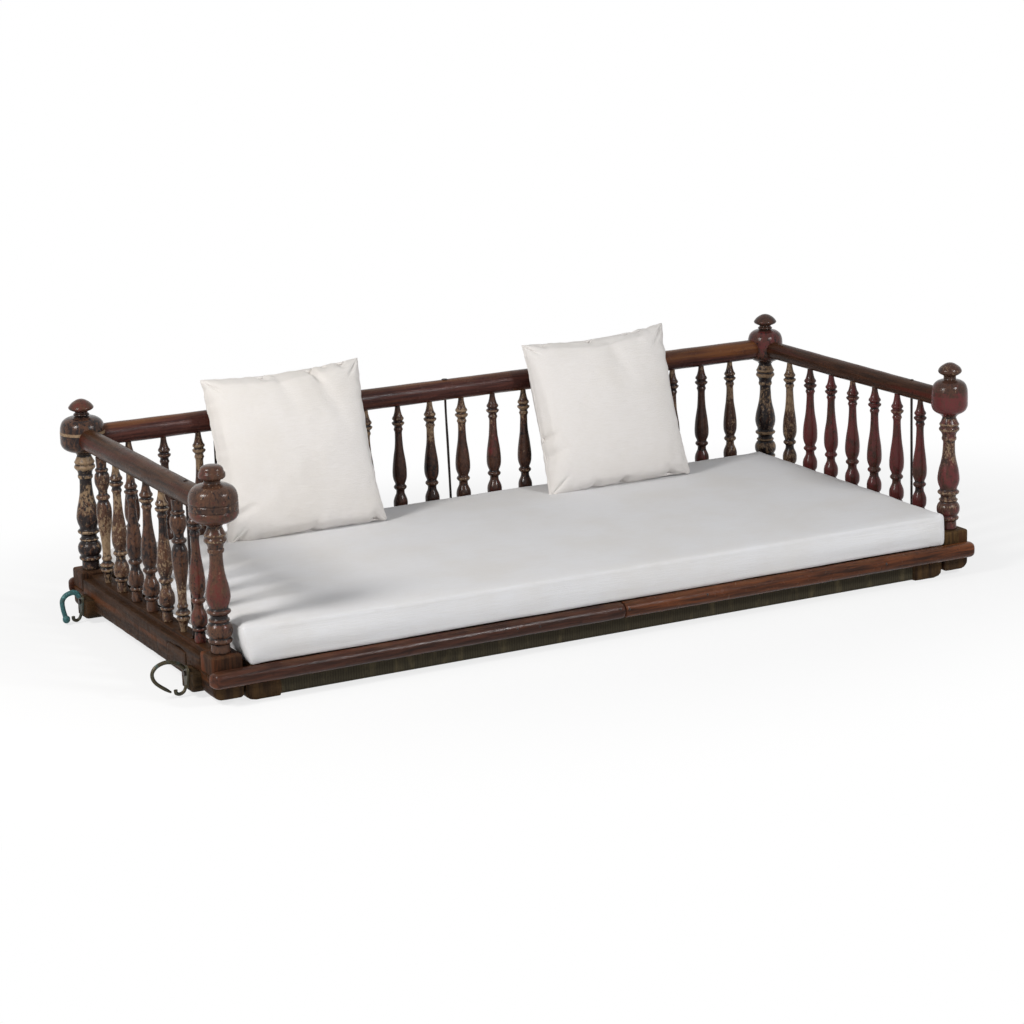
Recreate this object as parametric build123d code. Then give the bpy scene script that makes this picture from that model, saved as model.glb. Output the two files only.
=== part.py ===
from build123d import *

import os
from math import cos, pi, sin

# A jhoola: a long hanging daybed with a low turned balustrade on three sides, four forged hooks for
# its chains, a woven seat, a mattress and two pillows. Millimetres; X runs along the bench, -Y is
# the open front and Z is up from the ground that the frame stands on when it is taken down.

# Posts
POST_SPACING_X = 2000.0
POST_SPACING_Y = 852.0
PLINTH_SIDE = 74.0
PLINTH_HEIGHT = 48.0
PLINTH_EASING = 6.0
POST_TENON_SIDE = 28.0
POST_TENON_LENGTH = 42.0
POST_HEIGHT = 431.0  # plinth top to finial top
BALL_RADIUS_FRONT_LEFT = 56.5
BALL_RADIUS_BACK_LEFT = 55.5
BALL_RADIUS_BACK_RIGHT = 48.5
BALL_RADIUS_FRONT_RIGHT = 46.0
POST_FLAT_COUNT = 12
BALUSTER_FLAT_COUNT = 8

# Under-frame levels
DECK_HEIGHT = 84.0  # long rails, woven seat and mouldings all finish at this level
LEDGE_HEIGHT = 99.0  # end beams and back sill board
SILL_RISE = 7.0  # raised strip under the balusters
SILL_WIDTH = 32.0
PLINTH_SEAT_HEIGHT = 66.0
BEAM_SOFFIT = 33.0
HEEL_BOTTOM = 12.0
HEEL_LENGTH = 71.0
HEEL_OUTER_ROUNDING = 20.0
HEEL_INNER_ROUNDING = 8.0

# Long rails and the woven seat wrapped round them
RAIL_DEPTH = 69.0
RAIL_TO_BEAM_GAP = 13.0
BLOCK_LENGTH = 78.0
BLOCK_ROUNDING = 18.0
SHOULDER_FACE = 12.0
SHOULDER_BOTTOM = 5.0
WEAVE_THICKNESS = 4.0
WEAVE_ROUNDING = 8.0
RAIL_TENON_WIDTH = 30.0
RAIL_TENON_BOTTOM = 18.0
RAIL_TENON_TOP = 58.0
RAIL_TENON_LENGTH = 34.0

# Bearers that carry the hooks
BEARER_FROM_EDGE = 113.0  # from the frame's front and back edges to each bearer's centre
BEARER_WIDTH = 76.0
BEARER_BOTTOM = 12.0
BEARER_TOP = 60.0
BEARER_END_PROUD = 18.0
BEARER_ROUNDING = 20.0

# D-shaped mouldings
MOULDING_HEIGHT = 40.0
MOULDING_DEPTH = 32.0
MOULDING_OVERHANG = 10.0
MOULDING_END_ROUNDING = 18.0
MOULDING_JOINT_X = 9.0

# Top rails
TOP_RAIL_HEIGHT = 449.0
BACK_RAIL_RADIUS = 28.0
LEFT_RAIL_RADIUS = 28.0
RIGHT_RAIL_RADIUS = 24.25
RAIL_SEAT_SHARE = 0.79  # how far from the post's axis the rail is housed, as a share of the ball
RAIL_PEG_SIDE = 20.0
RAIL_PEG_STOP = 16.0  # from the post's axis, so that two pegs at one post stay apart

# Balusters
BACK_BALUSTER_COUNT = 20
END_BALUSTER_COUNT = 7
BACK_FIRST_FROM_POST = 117.0
END_FIRST_FROM_POST = 123.5
BALUSTER_PIN_DEPTH = 10.0
UPSIDE_DOWN_LEFT = (0, 5)  # counted from the back: two left balusters were put back inverted

# Iron tie rods that clamp the top rails down
ROD_RADIUS = 4.0
ROD_FLAT_COUNT = 8
ROD_HEAD_RADIUS = 9.0
ROD_HEAD_HEIGHT = 3.5
ROD_BITE = 12.0
BACK_ROD_FROM_POST = 347.0
END_ROD_FROM_POST = 162.0

# Inlaid repair in the left beam's outer face
PATCH_START_Y = -300.0
PATCH_LENGTH = 115.0
PATCH_TOP = 86.0
PATCH_DEPTH = 12.0
PATCH_PROUD = 1.5
PATCH_ROUNDING = 16.0

# Forged hooks, each hanging on a spike in the bearer's end
HOOK_CLEARANCE = 0.3
PIN_PLAY = 0.05
PIN_HEIGHT = 54.0
PIN_RADIUS = 4.0
PIN_HEAD_RADIUS = 6.5
PIN_HEAD_THICKNESS = 3.5
SPIKE_SIDE = 7.0
SPIKE_LENGTH = 45.0
LEAF_THICKNESS = 4.5
LEAF_TOP = 73.0
LEAF_WIDE_HEIGHT = 60.0
LEAF_WIDTH = 34.0
LEAF_TIP_HEIGHT = 20.0
LEAF_TIP_WIDTH = 12.0
BAR_FLAT_COUNT = 6
ARM_RING_COUNT = 9
CURL_RING_COUNT = 5

# Soft goods
SOFT_CLEARANCE = 0.3
MATTRESS_END_GAP = 3.0
MATTRESS_BACK_GAP = 4.0
MATTRESS_OVERHANG = 11.0  # past the front edge of the frame, over the moulding's flat
MATTRESS_THICKNESS = 88.0
MATTRESS_EASING = 10.0
PILLOW_WIDTH = 440.0
PILLOW_HEIGHT = 418.0
PILLOW_THICKNESS = 130.0
PILLOW_SEAM = 16.0
PILLOW_CROWN_SHARE = 0.42  # of the width and height that is at full thickness
PILLOW_SHOULDER = 0.62  # of the thickness, half way down the slope to the seam
PILLOW_SHOULDER_SHARE = 0.75
PILLOW_LEAN_ANGLE = 16.5
PILLOW_LEFT_FROM_END = 478.0
PILLOW_RIGHT_FROM_END = 520.0
PILLOW_LEFT_TURN_ANGLE = -2.0
PILLOW_RIGHT_TURN_ANGLE = 7.0

# Lathe profiles, as (height, radius) from the foot up
SHAFT_PROFILE = [
    (0, 22.0),
    (20, 21.6),
    (27, 27.0),
    (36, 24.0),
    (52, 29.0),
    (72, 22.0),
    (84, 19.6),
    (95, 27.2),
    (106, 21.8),
    (130, 28.2),
    (191, 17.0),
    (225, 15.2),
    (236, 19.0),
    (244, 17.3),
    (260, 25.9),
    (278, 23.5),
    (290, 17.3),
    (296, 21.0),
]
BALL_PROFILE = [(306, 0.82), (322, 1.0), (362, 0.975), (378, 0.87), (386, 0.52)]  # share of the radius
MUSHROOM_FINIAL = [(388, 16.0), (396, 16.0), (401, 22.0), (409, 29.5), (420, 26.0), (POST_HEIGHT, 12.0)]
RINGED_FINIAL = [
    (388, 15.5),
    (393, 19.5),
    (399, 15.5),
    (405, 22.0),
    (413, 31.0),
    (423, 26.0),
    (POST_HEIGHT, 11.0),
]
STEPPED_FINIAL = [(388, 19.0), (399, 22.0), (404, 30.0), (413, 30.0), (417, 25.0), (POST_HEIGHT, 21.0)]
BALUSTER_LOWER = [
    (0, 13.5),
    (22, 12.5),
    (33, 16.5),
    (56, 19.2),
    (87, 11.0),
    (99, 17.3),
    (110, 14.0),
    (138, 19.4),
]
BALUSTER_UPPER = [(90, 10.2), (43, 17.2), (30, 15.5), (0, 7.4)]  # height is down from the rail's underside

# Hook centre lines, as (outboard of the bearer's end, height), and bar radii at their two ends
LONG_ARM = [(7.0, 68.0), (22.0, 80.0), (48.0, 87.0), (72.0, 80.0), (83.0, 63.0), (74.0, 41.0), (40.0, 15.0)]
LONG_ARM_RADII = (5.0, 4.4)
SHORT_ARM = [(7.6, 68.0), (13.0, 76.0), (25.0, 80.0), (42.0, 74.0), (51.0, 60.0), (49.0, 36.0), (43.0, 14.0)]
SHORT_ARM_RADII = (6.8, 6.0)
LONG_CURL = [(4.8, 24.0), (9.0, 13.0), (19.0, 7.6), (28.0, 11.0), (29.0, 19.0)]
SHORT_CURL = [(4.8, 24.0), (8.0, 13.0), (16.0, 7.6), (24.0, 11.0), (25.0, 19.0)]
CURL_RADII = (4.0, 5.0)
KNOB_PROFILE = [(-9.5, 4.0), (-5.0, 8.5), (0, 9.5), (6.0, 8.0), (8.5, 5.0)]  # height is from the arm's end

# Worked out from the sizes above
post_x = POST_SPACING_X / 2
post_y = POST_SPACING_Y / 2
beam_inner = post_x - PLINTH_SIDE / 2
beam_outer = post_x + PLINTH_SIDE / 2
frame_edge = post_y + PLINTH_SIDE / 2
bearer_y = frame_edge - BEARER_FROM_EDGE
plinth_inner_y = post_y - PLINTH_SIDE / 2
sill_top = LEDGE_HEIGHT + SILL_RISE
plinth_top = PLINTH_SEAT_HEIGHT + PLINTH_HEIGHT
block_end = beam_inner - RAIL_TO_BEAM_GAP
block_start = block_end - BLOCK_LENGTH
rail_inner_y = frame_edge - RAIL_DEPTH
core_face_y = frame_edge - SHOULDER_FACE
core_top = DECK_HEIGHT - WEAVE_THICKNESS
weave_bottom = SHOULDER_BOTTOM - WEAVE_THICKNESS
bearer_end = beam_outer + BEARER_END_PROUD
end_rod_y = -(post_y - END_ROD_FROM_POST)
back_rod_x = post_x - BACK_ROD_FROM_POST
mattress_end = beam_inner - MATTRESS_END_GAP


def box_between(low, high):
    """Box from its lowest corner to its highest one."""
    size = [top - bottom for bottom, top in zip(low, high)]
    return Pos(*low) * Box(*size, align=(Align.MIN, Align.MIN, Align.MIN))


def evenly(first, last, count):
    """Positions spread evenly from first to last."""
    return [first + (last - first) * step / (count - 1) for step in range(count)]


def stacked(rings, bent=False):
    """Closed solid of flat faces between rings of as many corners. Where it bends, faces are triangles."""
    outlines = [rings[0], rings[-1]]
    for lower, upper in zip(rings, rings[1:]):
        for here in range(len(lower)):
            after = (here + 1) % len(lower)
            if bent:
                outlines.append([lower[here], lower[after], upper[after]])
                outlines.append([lower[here], upper[after], upper[here]])
            else:
                outlines.append([lower[here], lower[after], upper[after], upper[here]])
    return Solid(Shell([Face(Wire.make_polygon(outline)) for outline in outlines]))


def turned(profile, flats):
    """Turned solid of a lathe profile. Narrow flats round it keep the many turnings light."""
    corner = 1 / cos(pi / flats) ** 0.5  # corners stand out as much as the flats fall short
    turns = [2 * pi * (step + 0.5) / flats for step in range(flats)]
    rings = [
        [(radius * corner * cos(turn), radius * corner * sin(turn), height) for turn in turns]
        for height, radius in profile
    ]
    return stacked(rings)


# Under-frame


def post_tenon(x, y):
    """Square tenon below a post's plinth."""
    half = POST_TENON_SIDE / 2
    low = (x - half, y - half, PLINTH_SEAT_HEIGHT - POST_TENON_LENGTH)
    return box_between(low, (x + half, y + half, PLINTH_SEAT_HEIGHT))


def rail_tenon():
    """Tenon of the front long rail at its right end."""
    middle = -(rail_inner_y + frame_edge) / 2
    half = RAIL_TENON_WIDTH / 2
    low = (block_end, middle - half, RAIL_TENON_BOTTOM)
    return box_between(low, (block_end + RAIL_TENON_LENGTH, middle + half, RAIL_TENON_TOP))


def bearer():
    """Front bearer, with the lower front edge worked round."""
    low = (-bearer_end, -bearer_y - BEARER_WIDTH / 2, BEARER_BOTTOM)
    timber = box_between(low, (bearer_end, -bearer_y + BEARER_WIDTH / 2, BEARER_TOP))
    lower_edges = timber.edges().filter_by(Axis.X).group_by(Axis.Z)[0]
    return fillet(lower_edges.sort_by(Axis.Y)[0], BEARER_ROUNDING)


def sill_strip(low_x, high_x, low_y, high_y):
    """Raised strip that the balusters stand on."""
    return box_between((low_x, low_y, LEDGE_HEIGHT), (high_x, high_y, sill_top))


def end_beam():
    """Right end beam: heels at both ends, seats for the plinths and notches for the bearers."""
    heel_start = frame_edge - HEEL_LENGTH
    half_outline = [
        (frame_edge, HEEL_BOTTOM),
        (frame_edge, PLINTH_SEAT_HEIGHT),
        (plinth_inner_y, PLINTH_SEAT_HEIGHT),
        (plinth_inner_y, LEDGE_HEIGHT),
    ]
    half_outline = [(heel_start, BEAM_SOFFIT), (heel_start, HEEL_BOTTOM)] + half_outline
    outline = half_outline + [(-y, z) for y, z in reversed(half_outline)]
    timber = extrude(Plane.YZ.offset(beam_inner) * Polygon(*outline, align=None), PLINTH_SIDE)
    heel_edges = timber.edges().filter_by(Axis.Y).group_by(Axis.Z)[0].group_by(Axis.X)
    timber = fillet(heel_edges[-1], HEEL_OUTER_ROUNDING)
    heel_edges = timber.edges().filter_by(Axis.Y).group_by(Axis.Z)[0].group_by(Axis.X)
    timber = fillet(heel_edges[0], HEEL_INNER_ROUNDING)
    half_sill = SILL_WIDTH / 2
    timber += sill_strip(post_x - half_sill, post_x + half_sill, -plinth_inner_y, plinth_inner_y)
    front_cuts = [bearer_notch(), post_tenon(post_x, -post_y), rail_tenon()]
    for cut in front_cuts:
        timber = timber - cut - mirror(cut, Plane.XZ)
    return timber - tie_rod(post_x, end_rod_y, RIGHT_RAIL_RADIUS)


def bearer_notch():
    """Square notch that the front bearer is lapped into."""
    low = (beam_inner, -bearer_y - BEARER_WIDTH / 2, HEEL_BOTTOM)
    return box_between(low, (beam_outer, -bearer_y + BEARER_WIDTH / 2, BEARER_TOP))


def beam_patch():
    """Repair let into the left beam's outer face, with one rounded corner."""
    low = (-beam_outer - PATCH_PROUD, PATCH_START_Y, BEAM_SOFFIT)
    high = (-beam_outer + PATCH_DEPTH, PATCH_START_Y + PATCH_LENGTH, PATCH_TOP)
    inlay = box_between(low, high)
    corner = inlay.edges().filter_by(Axis.X).sort_by(Axis.Z)[-2:].sort_by(Axis.Y)[-1]
    return fillet(corner, PATCH_ROUNDING)


def rail_core():
    """The part of the front long rail that the weave is wrapped round."""
    low = (-block_start, -core_face_y, SHOULDER_BOTTOM)
    core = box_between(low, (block_start, -rail_inner_y, core_top))
    return fillet(core.edges().filter_by(Axis.X), WEAVE_ROUNDING - WEAVE_THICKNESS)


def long_rail():
    """Front long rail: full blocks at the ends, a slimmer core between, and a tenon at each end."""
    block = box_between((block_start, -frame_edge, 0), (block_end, -rail_inner_y, DECK_HEIGHT))
    lower_outer = block.edges().filter_by(Axis.Y).group_by(Axis.Z)[0].sort_by(Axis.X)[-1]
    end = fillet(lower_outer, BLOCK_ROUNDING) + rail_tenon()
    return rail_core() + end + mirror(end, Plane.YZ)


def woven_seat(cores):
    """Woven sheet across the frame, wrapped right round both long rails."""
    wrap_edge = core_face_y + WEAVE_THICKNESS
    inside = rail_inner_y - WEAVE_THICKNESS
    outline = RectangleRounded(2 * wrap_edge, DECK_HEIGHT - weave_bottom, WEAVE_ROUNDING)
    middle = (DECK_HEIGHT + weave_bottom) / 2
    section = Plane.YZ.offset(-block_start) * (Pos(0, middle) * outline)
    seat = extrude(section, 2 * block_start)
    seat -= box_between((-block_start, -inside, weave_bottom), (block_start, inside, core_top))
    for core in cores:
        seat -= core
    return seat


def back_sill():
    """Board behind the mattress that carries the back balusters."""
    board = box_between((-beam_inner, rail_inner_y, DECK_HEIGHT), (beam_inner, frame_edge, LEDGE_HEIGHT))
    half_sill = SILL_WIDTH / 2
    return board + sill_strip(-beam_inner, beam_inner, post_y - half_sill, post_y + half_sill)


def moulding():
    """Back moulding: a D in section with rounded ends."""
    nose = MOULDING_HEIGHT / 2
    flat = frame_edge + MOULDING_DEPTH - nose
    low = DECK_HEIGHT - MOULDING_HEIGHT
    outline = [
        Line((flat, low), (frame_edge, low)),
        Line((frame_edge, low), (frame_edge, DECK_HEIGHT)),
        Line((frame_edge, DECK_HEIGHT), (flat, DECK_HEIGHT)),
        ThreePointArc((flat, DECK_HEIGHT), (flat + nose, low + nose), (flat, low)),
    ]
    half_length = beam_outer + MOULDING_OVERHANG
    length = 2 * half_length
    strip = extrude(Plane.YZ.offset(-half_length) * make_face(outline), length)
    front_top = (half_length, frame_edge + MOULDING_DEPTH, DECK_HEIGHT)
    plan = box_between((-half_length, frame_edge, low), front_top)
    outer_corners = plan.edges().filter_by(Axis.Z).group_by(Axis.Y)[-1]
    return strip & fillet(outer_corners, MOULDING_END_ROUNDING)


# Balustrade


def rail_seat(ball_radius):
    """Distance from the post's axis at which a top rail is housed in the ball."""
    return ball_radius * RAIL_SEAT_SHARE


def rail_along(start, finish, radius):
    """Round rail between two points of its axis."""
    run = Vector(*finish) - Vector(*start)
    along = Plane(origin=start, z_dir=run, x_dir=(0, 0, 1))
    return along.location * turned([(0, radius), (run.length, radius)], POST_FLAT_COUNT)


def rail_peg(start, finish):
    """Square peg between two points of a rail's axis."""
    run = Vector(*finish) - Vector(*start)
    along = Plane(origin=start, z_dir=run, x_dir=(0, 0, 1))
    return extrude(along * Rectangle(RAIL_PEG_SIDE, RAIL_PEG_SIDE), run.length)


def back_rail():
    """Rail over the back balusters, housed in the two back balls."""
    left = -post_x + rail_seat(BALL_RADIUS_BACK_LEFT)
    right = post_x - rail_seat(BALL_RADIUS_BACK_RIGHT)
    rail = rail_along((left, post_y, TOP_RAIL_HEIGHT), (right, post_y, TOP_RAIL_HEIGHT), BACK_RAIL_RADIUS)
    peg_end = post_x - RAIL_PEG_STOP
    return rail + rail_peg((-peg_end, post_y, TOP_RAIL_HEIGHT), (peg_end, post_y, TOP_RAIL_HEIGHT))


def side_rail(x, radius, front_ball, back_ball):
    """Rail over an end's balusters, from the front ball to the back one."""
    front = -post_y + rail_seat(front_ball)
    back = post_y - rail_seat(back_ball)
    rail = rail_along((x, front, TOP_RAIL_HEIGHT), (x, back, TOP_RAIL_HEIGHT), radius)
    peg_end = post_y - RAIL_PEG_STOP
    return rail + rail_peg((x, -peg_end, TOP_RAIL_HEIGHT), (x, peg_end, TOP_RAIL_HEIGHT))


def post(x, y, ball_radius, finial, rails):
    """Turned post on a square plinth, bored for the rails that reach it."""
    ball = [(height, share * ball_radius) for height, share in BALL_PROFILE]
    shaft = Pos(x, y, plinth_top) * turned(SHAFT_PROFILE + ball + finial, POST_FLAT_COUNT)
    half = PLINTH_SIDE / 2
    plinth = box_between((x - half, y - half, PLINTH_SEAT_HEIGHT), (x + half, y + half, plinth_top))
    plinth = chamfer(plinth.edges().group_by(Axis.Z)[-1], PLINTH_EASING)
    whole = shaft + plinth + post_tenon(x, y)
    for rail in rails:
        whole -= rail
    return whole


def baluster_profile(height, upside_down):
    """Profile of a baluster of this height, with the pin that enters the rail above."""
    profile = BALUSTER_LOWER + [(height - down, radius) for down, radius in BALUSTER_UPPER]
    if upside_down:
        profile = [(height - level, radius) for level, radius in reversed(profile)]
    return profile + [(height + BALUSTER_PIN_DEPTH, profile[-1][1])]


def balusters(places, rail_radius, upside_down=()):
    """Row of separate balusters between the sill and the underside of a rail."""
    height = TOP_RAIL_HEIGHT - rail_radius - sill_top
    upright = turned(baluster_profile(height, False), BALUSTER_FLAT_COUNT)
    inverted = turned(baluster_profile(height, True), BALUSTER_FLAT_COUNT)
    row = []
    for count, (x, y) in enumerate(places):
        row.append(Pos(x, y, sill_top) * (inverted if count in upside_down else upright))
    return row


def tie_rod(x, y, rail_radius):
    """Iron rod down through a top rail into the sill, with a hammered head."""
    top = TOP_RAIL_HEIGHT + rail_radius
    shank = [(sill_top - ROD_BITE, ROD_RADIUS), (top, ROD_RADIUS)]
    head = [(top, ROD_HEAD_RADIUS), (top + ROD_HEAD_HEIGHT, ROD_HEAD_RADIUS - ROD_HEAD_HEIGHT)]
    return Pos(x, y, 0) * turned(shank + head, ROD_FLAT_COUNT)


# Hooks


def bar(centre_line, radii, stations):
    """Tapering forged bar along a curve in the XZ plane."""
    path = Spline(*[(out, 0, height) for out, height in centre_line])
    turns = [2 * pi * (step + 0.5) / BAR_FLAT_COUNT for step in range(BAR_FLAT_COUNT)]
    rings = []
    for share in evenly(0, 1, stations):
        radius = radii[0] + (radii[1] - radii[0]) * share
        across = Plane(origin=path @ share, z_dir=path % share, x_dir=(0, 1, 0))
        ring = [(radius * cos(turn), radius * sin(turn), 0) for turn in turns]
        rings.append([across.from_local_coords(point) for point in ring])
    return stacked(rings, bent=True)


def hook(arm, arm_radii, curl, knobbed):
    """Hook with its leaf against X = 0 and its arm towards +X, swinging on the pin in the leaf."""
    half_top = LEAF_WIDTH / 2
    half_tip = LEAF_TIP_WIDTH / 2
    outline = [
        Line((-half_tip, LEAF_TIP_HEIGHT), (half_tip, LEAF_TIP_HEIGHT)),
        Line((half_tip, LEAF_TIP_HEIGHT), (half_top, LEAF_WIDE_HEIGHT)),
        ThreePointArc((half_top, LEAF_WIDE_HEIGHT), (0, LEAF_TOP), (-half_top, LEAF_WIDE_HEIGHT)),
        Line((-half_top, LEAF_WIDE_HEIGHT), (-half_tip, LEAF_TIP_HEIGHT)),
    ]
    leaf = extrude(Plane.YZ.offset(HOOK_CLEARANCE) * make_face(outline), LEAF_THICKNESS)
    forged = leaf + bar(arm, arm_radii, ARM_RING_COUNT) + bar(curl, CURL_RADII, CURL_RING_COUNT)
    if knobbed:
        out, height = arm[-1]
        forged += Pos(out, 0, height) * turned(KNOB_PROFILE, BAR_FLAT_COUNT)
    across = Plane(origin=(0, 0, PIN_HEIGHT), z_dir=(1, 0, 0))
    return forged - extrude(across * Circle(PIN_RADIUS + PIN_PLAY), 2 * LEAF_THICKNESS)


def hook_pin():
    """Spike driven into the bearer, with a round neck for the leaf and a flat head."""
    neck_length = LEAF_THICKNESS + 2 * HOOK_CLEARANCE
    across = Plane(origin=(0, 0, PIN_HEIGHT), z_dir=(1, 0, 0))
    neck = extrude(across * Circle(PIN_RADIUS), neck_length)
    head_plane = across.offset(neck_length)
    head = extrude(head_plane * RegularPolygon(PIN_HEAD_RADIUS, BAR_FLAT_COUNT), PIN_HEAD_THICKNESS)
    return neck + head + hook_spike()


def hook_spike():
    """Square shank of the pin, inside the bearer."""
    across = Plane(origin=(0, 0, PIN_HEIGHT), z_dir=(1, 0, 0))
    return extrude(across * Rectangle(SPIKE_SIDE, SPIKE_SIDE), -SPIKE_LENGTH)


def at_bearer_end(shape, side, end_y):
    """Put a shape made against X = 0 at a bearer's left (-1) or right (+1) end."""
    turned_out = shape if side > 0 else mirror(shape, Plane.YZ)
    return Pos(side * bearer_end, end_y, 0) * turned_out


# Soft goods


def mattress():
    """Firm boxed mattress on the woven seat."""
    low = (-mattress_end, -frame_edge - MATTRESS_OVERHANG, DECK_HEIGHT + SOFT_CLEARANCE)
    high = (mattress_end, rail_inner_y - MATTRESS_BACK_GAP, low[2] + MATTRESS_THICKNESS)
    pad = box_between(low, high)
    return chamfer(pad.edges(), MATTRESS_EASING)


def pillow(x, turn):
    """Scatter pillow standing on the mattress and leaning back to the front of the back rail."""
    half = PILLOW_THICKNESS / 2
    shoulder = (PILLOW_SHOULDER * half, PILLOW_SHOULDER_SHARE)
    back_layers = [(half, PILLOW_CROWN_SHARE), shoulder, (PILLOW_SEAM / 2, 1)]
    layers = [(-depth, share) for depth, share in back_layers] + back_layers[::-1]
    corners = [(-0.5, -0.5), (0.5, -0.5), (0.5, 0.5), (-0.5, 0.5)]
    rings = [
        [(PILLOW_WIDTH * share * across, depth, PILLOW_HEIGHT * share * up) for across, up in corners]
        for depth, share in layers
    ]
    cushion = Rot(0, 0, turn) * Rot(-PILLOW_LEAN_ANGLE, 0, 0) * stacked(rings)
    reach = cushion.bounding_box()
    rest_z = DECK_HEIGHT + MATTRESS_THICKNESS + 2 * SOFT_CLEARANCE
    rest_y = post_y - BACK_RAIL_RADIUS - SOFT_CLEARANCE
    return Pos(x, rest_y - reach.max.Y, rest_z - reach.min.Z) * cushion


def build_nodes():
    """Every named piece of the daybed."""
    nodes = {}

    rail_back = back_rail()
    rail_left = side_rail(-post_x, LEFT_RAIL_RADIUS, BALL_RADIUS_FRONT_LEFT, BALL_RADIUS_BACK_LEFT)
    rail_right = side_rail(post_x, RIGHT_RAIL_RADIUS, BALL_RADIUS_FRONT_RIGHT, BALL_RADIUS_BACK_RIGHT)
    posts = {
        "post_front_left": (-post_x, -post_y, BALL_RADIUS_FRONT_LEFT, STEPPED_FINIAL, [rail_left]),
        "post_front_right": (post_x, -post_y, BALL_RADIUS_FRONT_RIGHT, MUSHROOM_FINIAL, [rail_right]),
        "post_back_left": (-post_x, post_y, BALL_RADIUS_BACK_LEFT, RINGED_FINIAL, [rail_left, rail_back]),
        "post_back_right": (post_x, post_y, BALL_RADIUS_BACK_RIGHT, RINGED_FINIAL, [rail_right, rail_back]),
    }
    for name, details in posts.items():
        nodes[name] = post(*details)

    first_x = post_x - BACK_FIRST_FROM_POST
    first_y = post_y - END_FIRST_FROM_POST
    back_places = [(x, post_y) for x in evenly(-first_x, first_x, BACK_BALUSTER_COUNT)]
    left_places = [(-post_x, y) for y in evenly(first_y, -first_y, END_BALUSTER_COUNT)]
    right_places = [(post_x, y) for y in evenly(first_y, -first_y, END_BALUSTER_COUNT)]
    rows = {
        "balusters_back": balusters(back_places, BACK_RAIL_RADIUS),
        "balusters_left": balusters(left_places, LEFT_RAIL_RADIUS, UPSIDE_DOWN_LEFT),
        "balusters_right": balusters(right_places, RIGHT_RAIL_RADIUS),
    }
    back_rods = {
        "tie_rod_back_left": tie_rod(-back_rod_x, post_y, BACK_RAIL_RADIUS),
        "tie_rod_back_middle": tie_rod(0, post_y, BACK_RAIL_RADIUS),
        "tie_rod_back_right": tie_rod(back_rod_x, post_y, BACK_RAIL_RADIUS),
    }
    left_rod = tie_rod(-post_x, end_rod_y, LEFT_RAIL_RADIUS)
    right_rod = tie_rod(post_x, end_rod_y, RIGHT_RAIL_RADIUS)
    for name, row in rows.items():
        nodes[name] = Compound(children=row)
    nodes["top_rail_back"] = rail_back - rows["balusters_back"] - list(back_rods.values())
    nodes["top_rail_left"] = rail_left - rows["balusters_left"] - left_rod
    nodes["top_rail_right"] = rail_right - rows["balusters_right"] - right_rod
    nodes.update(back_rods)
    nodes["tie_rod_left"] = left_rod
    nodes["tie_rod_right"] = right_rod

    patch = beam_patch()
    nodes["beam_patch"] = patch
    nodes["end_beam_right"] = end_beam()
    nodes["end_beam_left"] = mirror(end_beam(), Plane.YZ) - patch
    spikes = [at_bearer_end(hook_spike(), side, -bearer_y) for side in (-1, 1)]
    front_bearer = bearer() - spikes
    nodes["bearer_front"] = front_bearer
    nodes["bearer_back"] = Pos(0, 2 * bearer_y, 0) * front_bearer

    nodes["long_rail_front"] = long_rail()
    nodes["long_rail_back"] = mirror(long_rail(), Plane.XZ)
    nodes["woven_seat"] = woven_seat([rail_core(), mirror(rail_core(), Plane.XZ)])
    nodes["back_sill"] = back_sill() - list(back_rods.values())
    nodes["moulding_back"] = moulding()
    front_moulding = mirror(moulding(), Plane.XZ)
    joint = Plane.YZ.offset(MOULDING_JOINT_X)
    nodes["moulding_front_left"] = split(front_moulding, bisect_by=joint, keep=Keep.BOTTOM)
    nodes["moulding_front_right"] = split(front_moulding, bisect_by=joint, keep=Keep.TOP)

    long_hook = hook(LONG_ARM, LONG_ARM_RADII, LONG_CURL, knobbed=False)
    short_hook = hook(SHORT_ARM, SHORT_ARM_RADII, SHORT_CURL, knobbed=True)
    nodes["hook_front_left"] = at_bearer_end(long_hook, -1, -bearer_y)
    nodes["hook_back_left"] = at_bearer_end(short_hook, -1, bearer_y)
    nodes["hook_front_right"] = at_bearer_end(short_hook, 1, -bearer_y)
    nodes["hook_back_right"] = at_bearer_end(long_hook, 1, bearer_y)
    ends = [(side, end_y) for side in (-1, 1) for end_y in (-bearer_y, bearer_y)]
    pins = [at_bearer_end(hook_pin(), side, end_y) for side, end_y in ends]
    nodes["hook_pins"] = Compound(children=pins)

    nodes["mattress"] = mattress()
    nodes["pillow_left"] = pillow(PILLOW_LEFT_FROM_END - mattress_end, PILLOW_LEFT_TURN_ANGLE)
    nodes["pillow_right"] = pillow(mattress_end - PILLOW_RIGHT_FROM_END, PILLOW_RIGHT_TURN_ANGLE)
    return nodes


os.makedirs("parts", exist_ok=True)
for node, shape in build_nodes().items():
    export_step(shape, "parts/" + node + ".step")
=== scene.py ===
import random
from math import cos, exp, pi, radians, sin

import bmesh
import bpy
from mathutils import Matrix, Vector, noise


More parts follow.
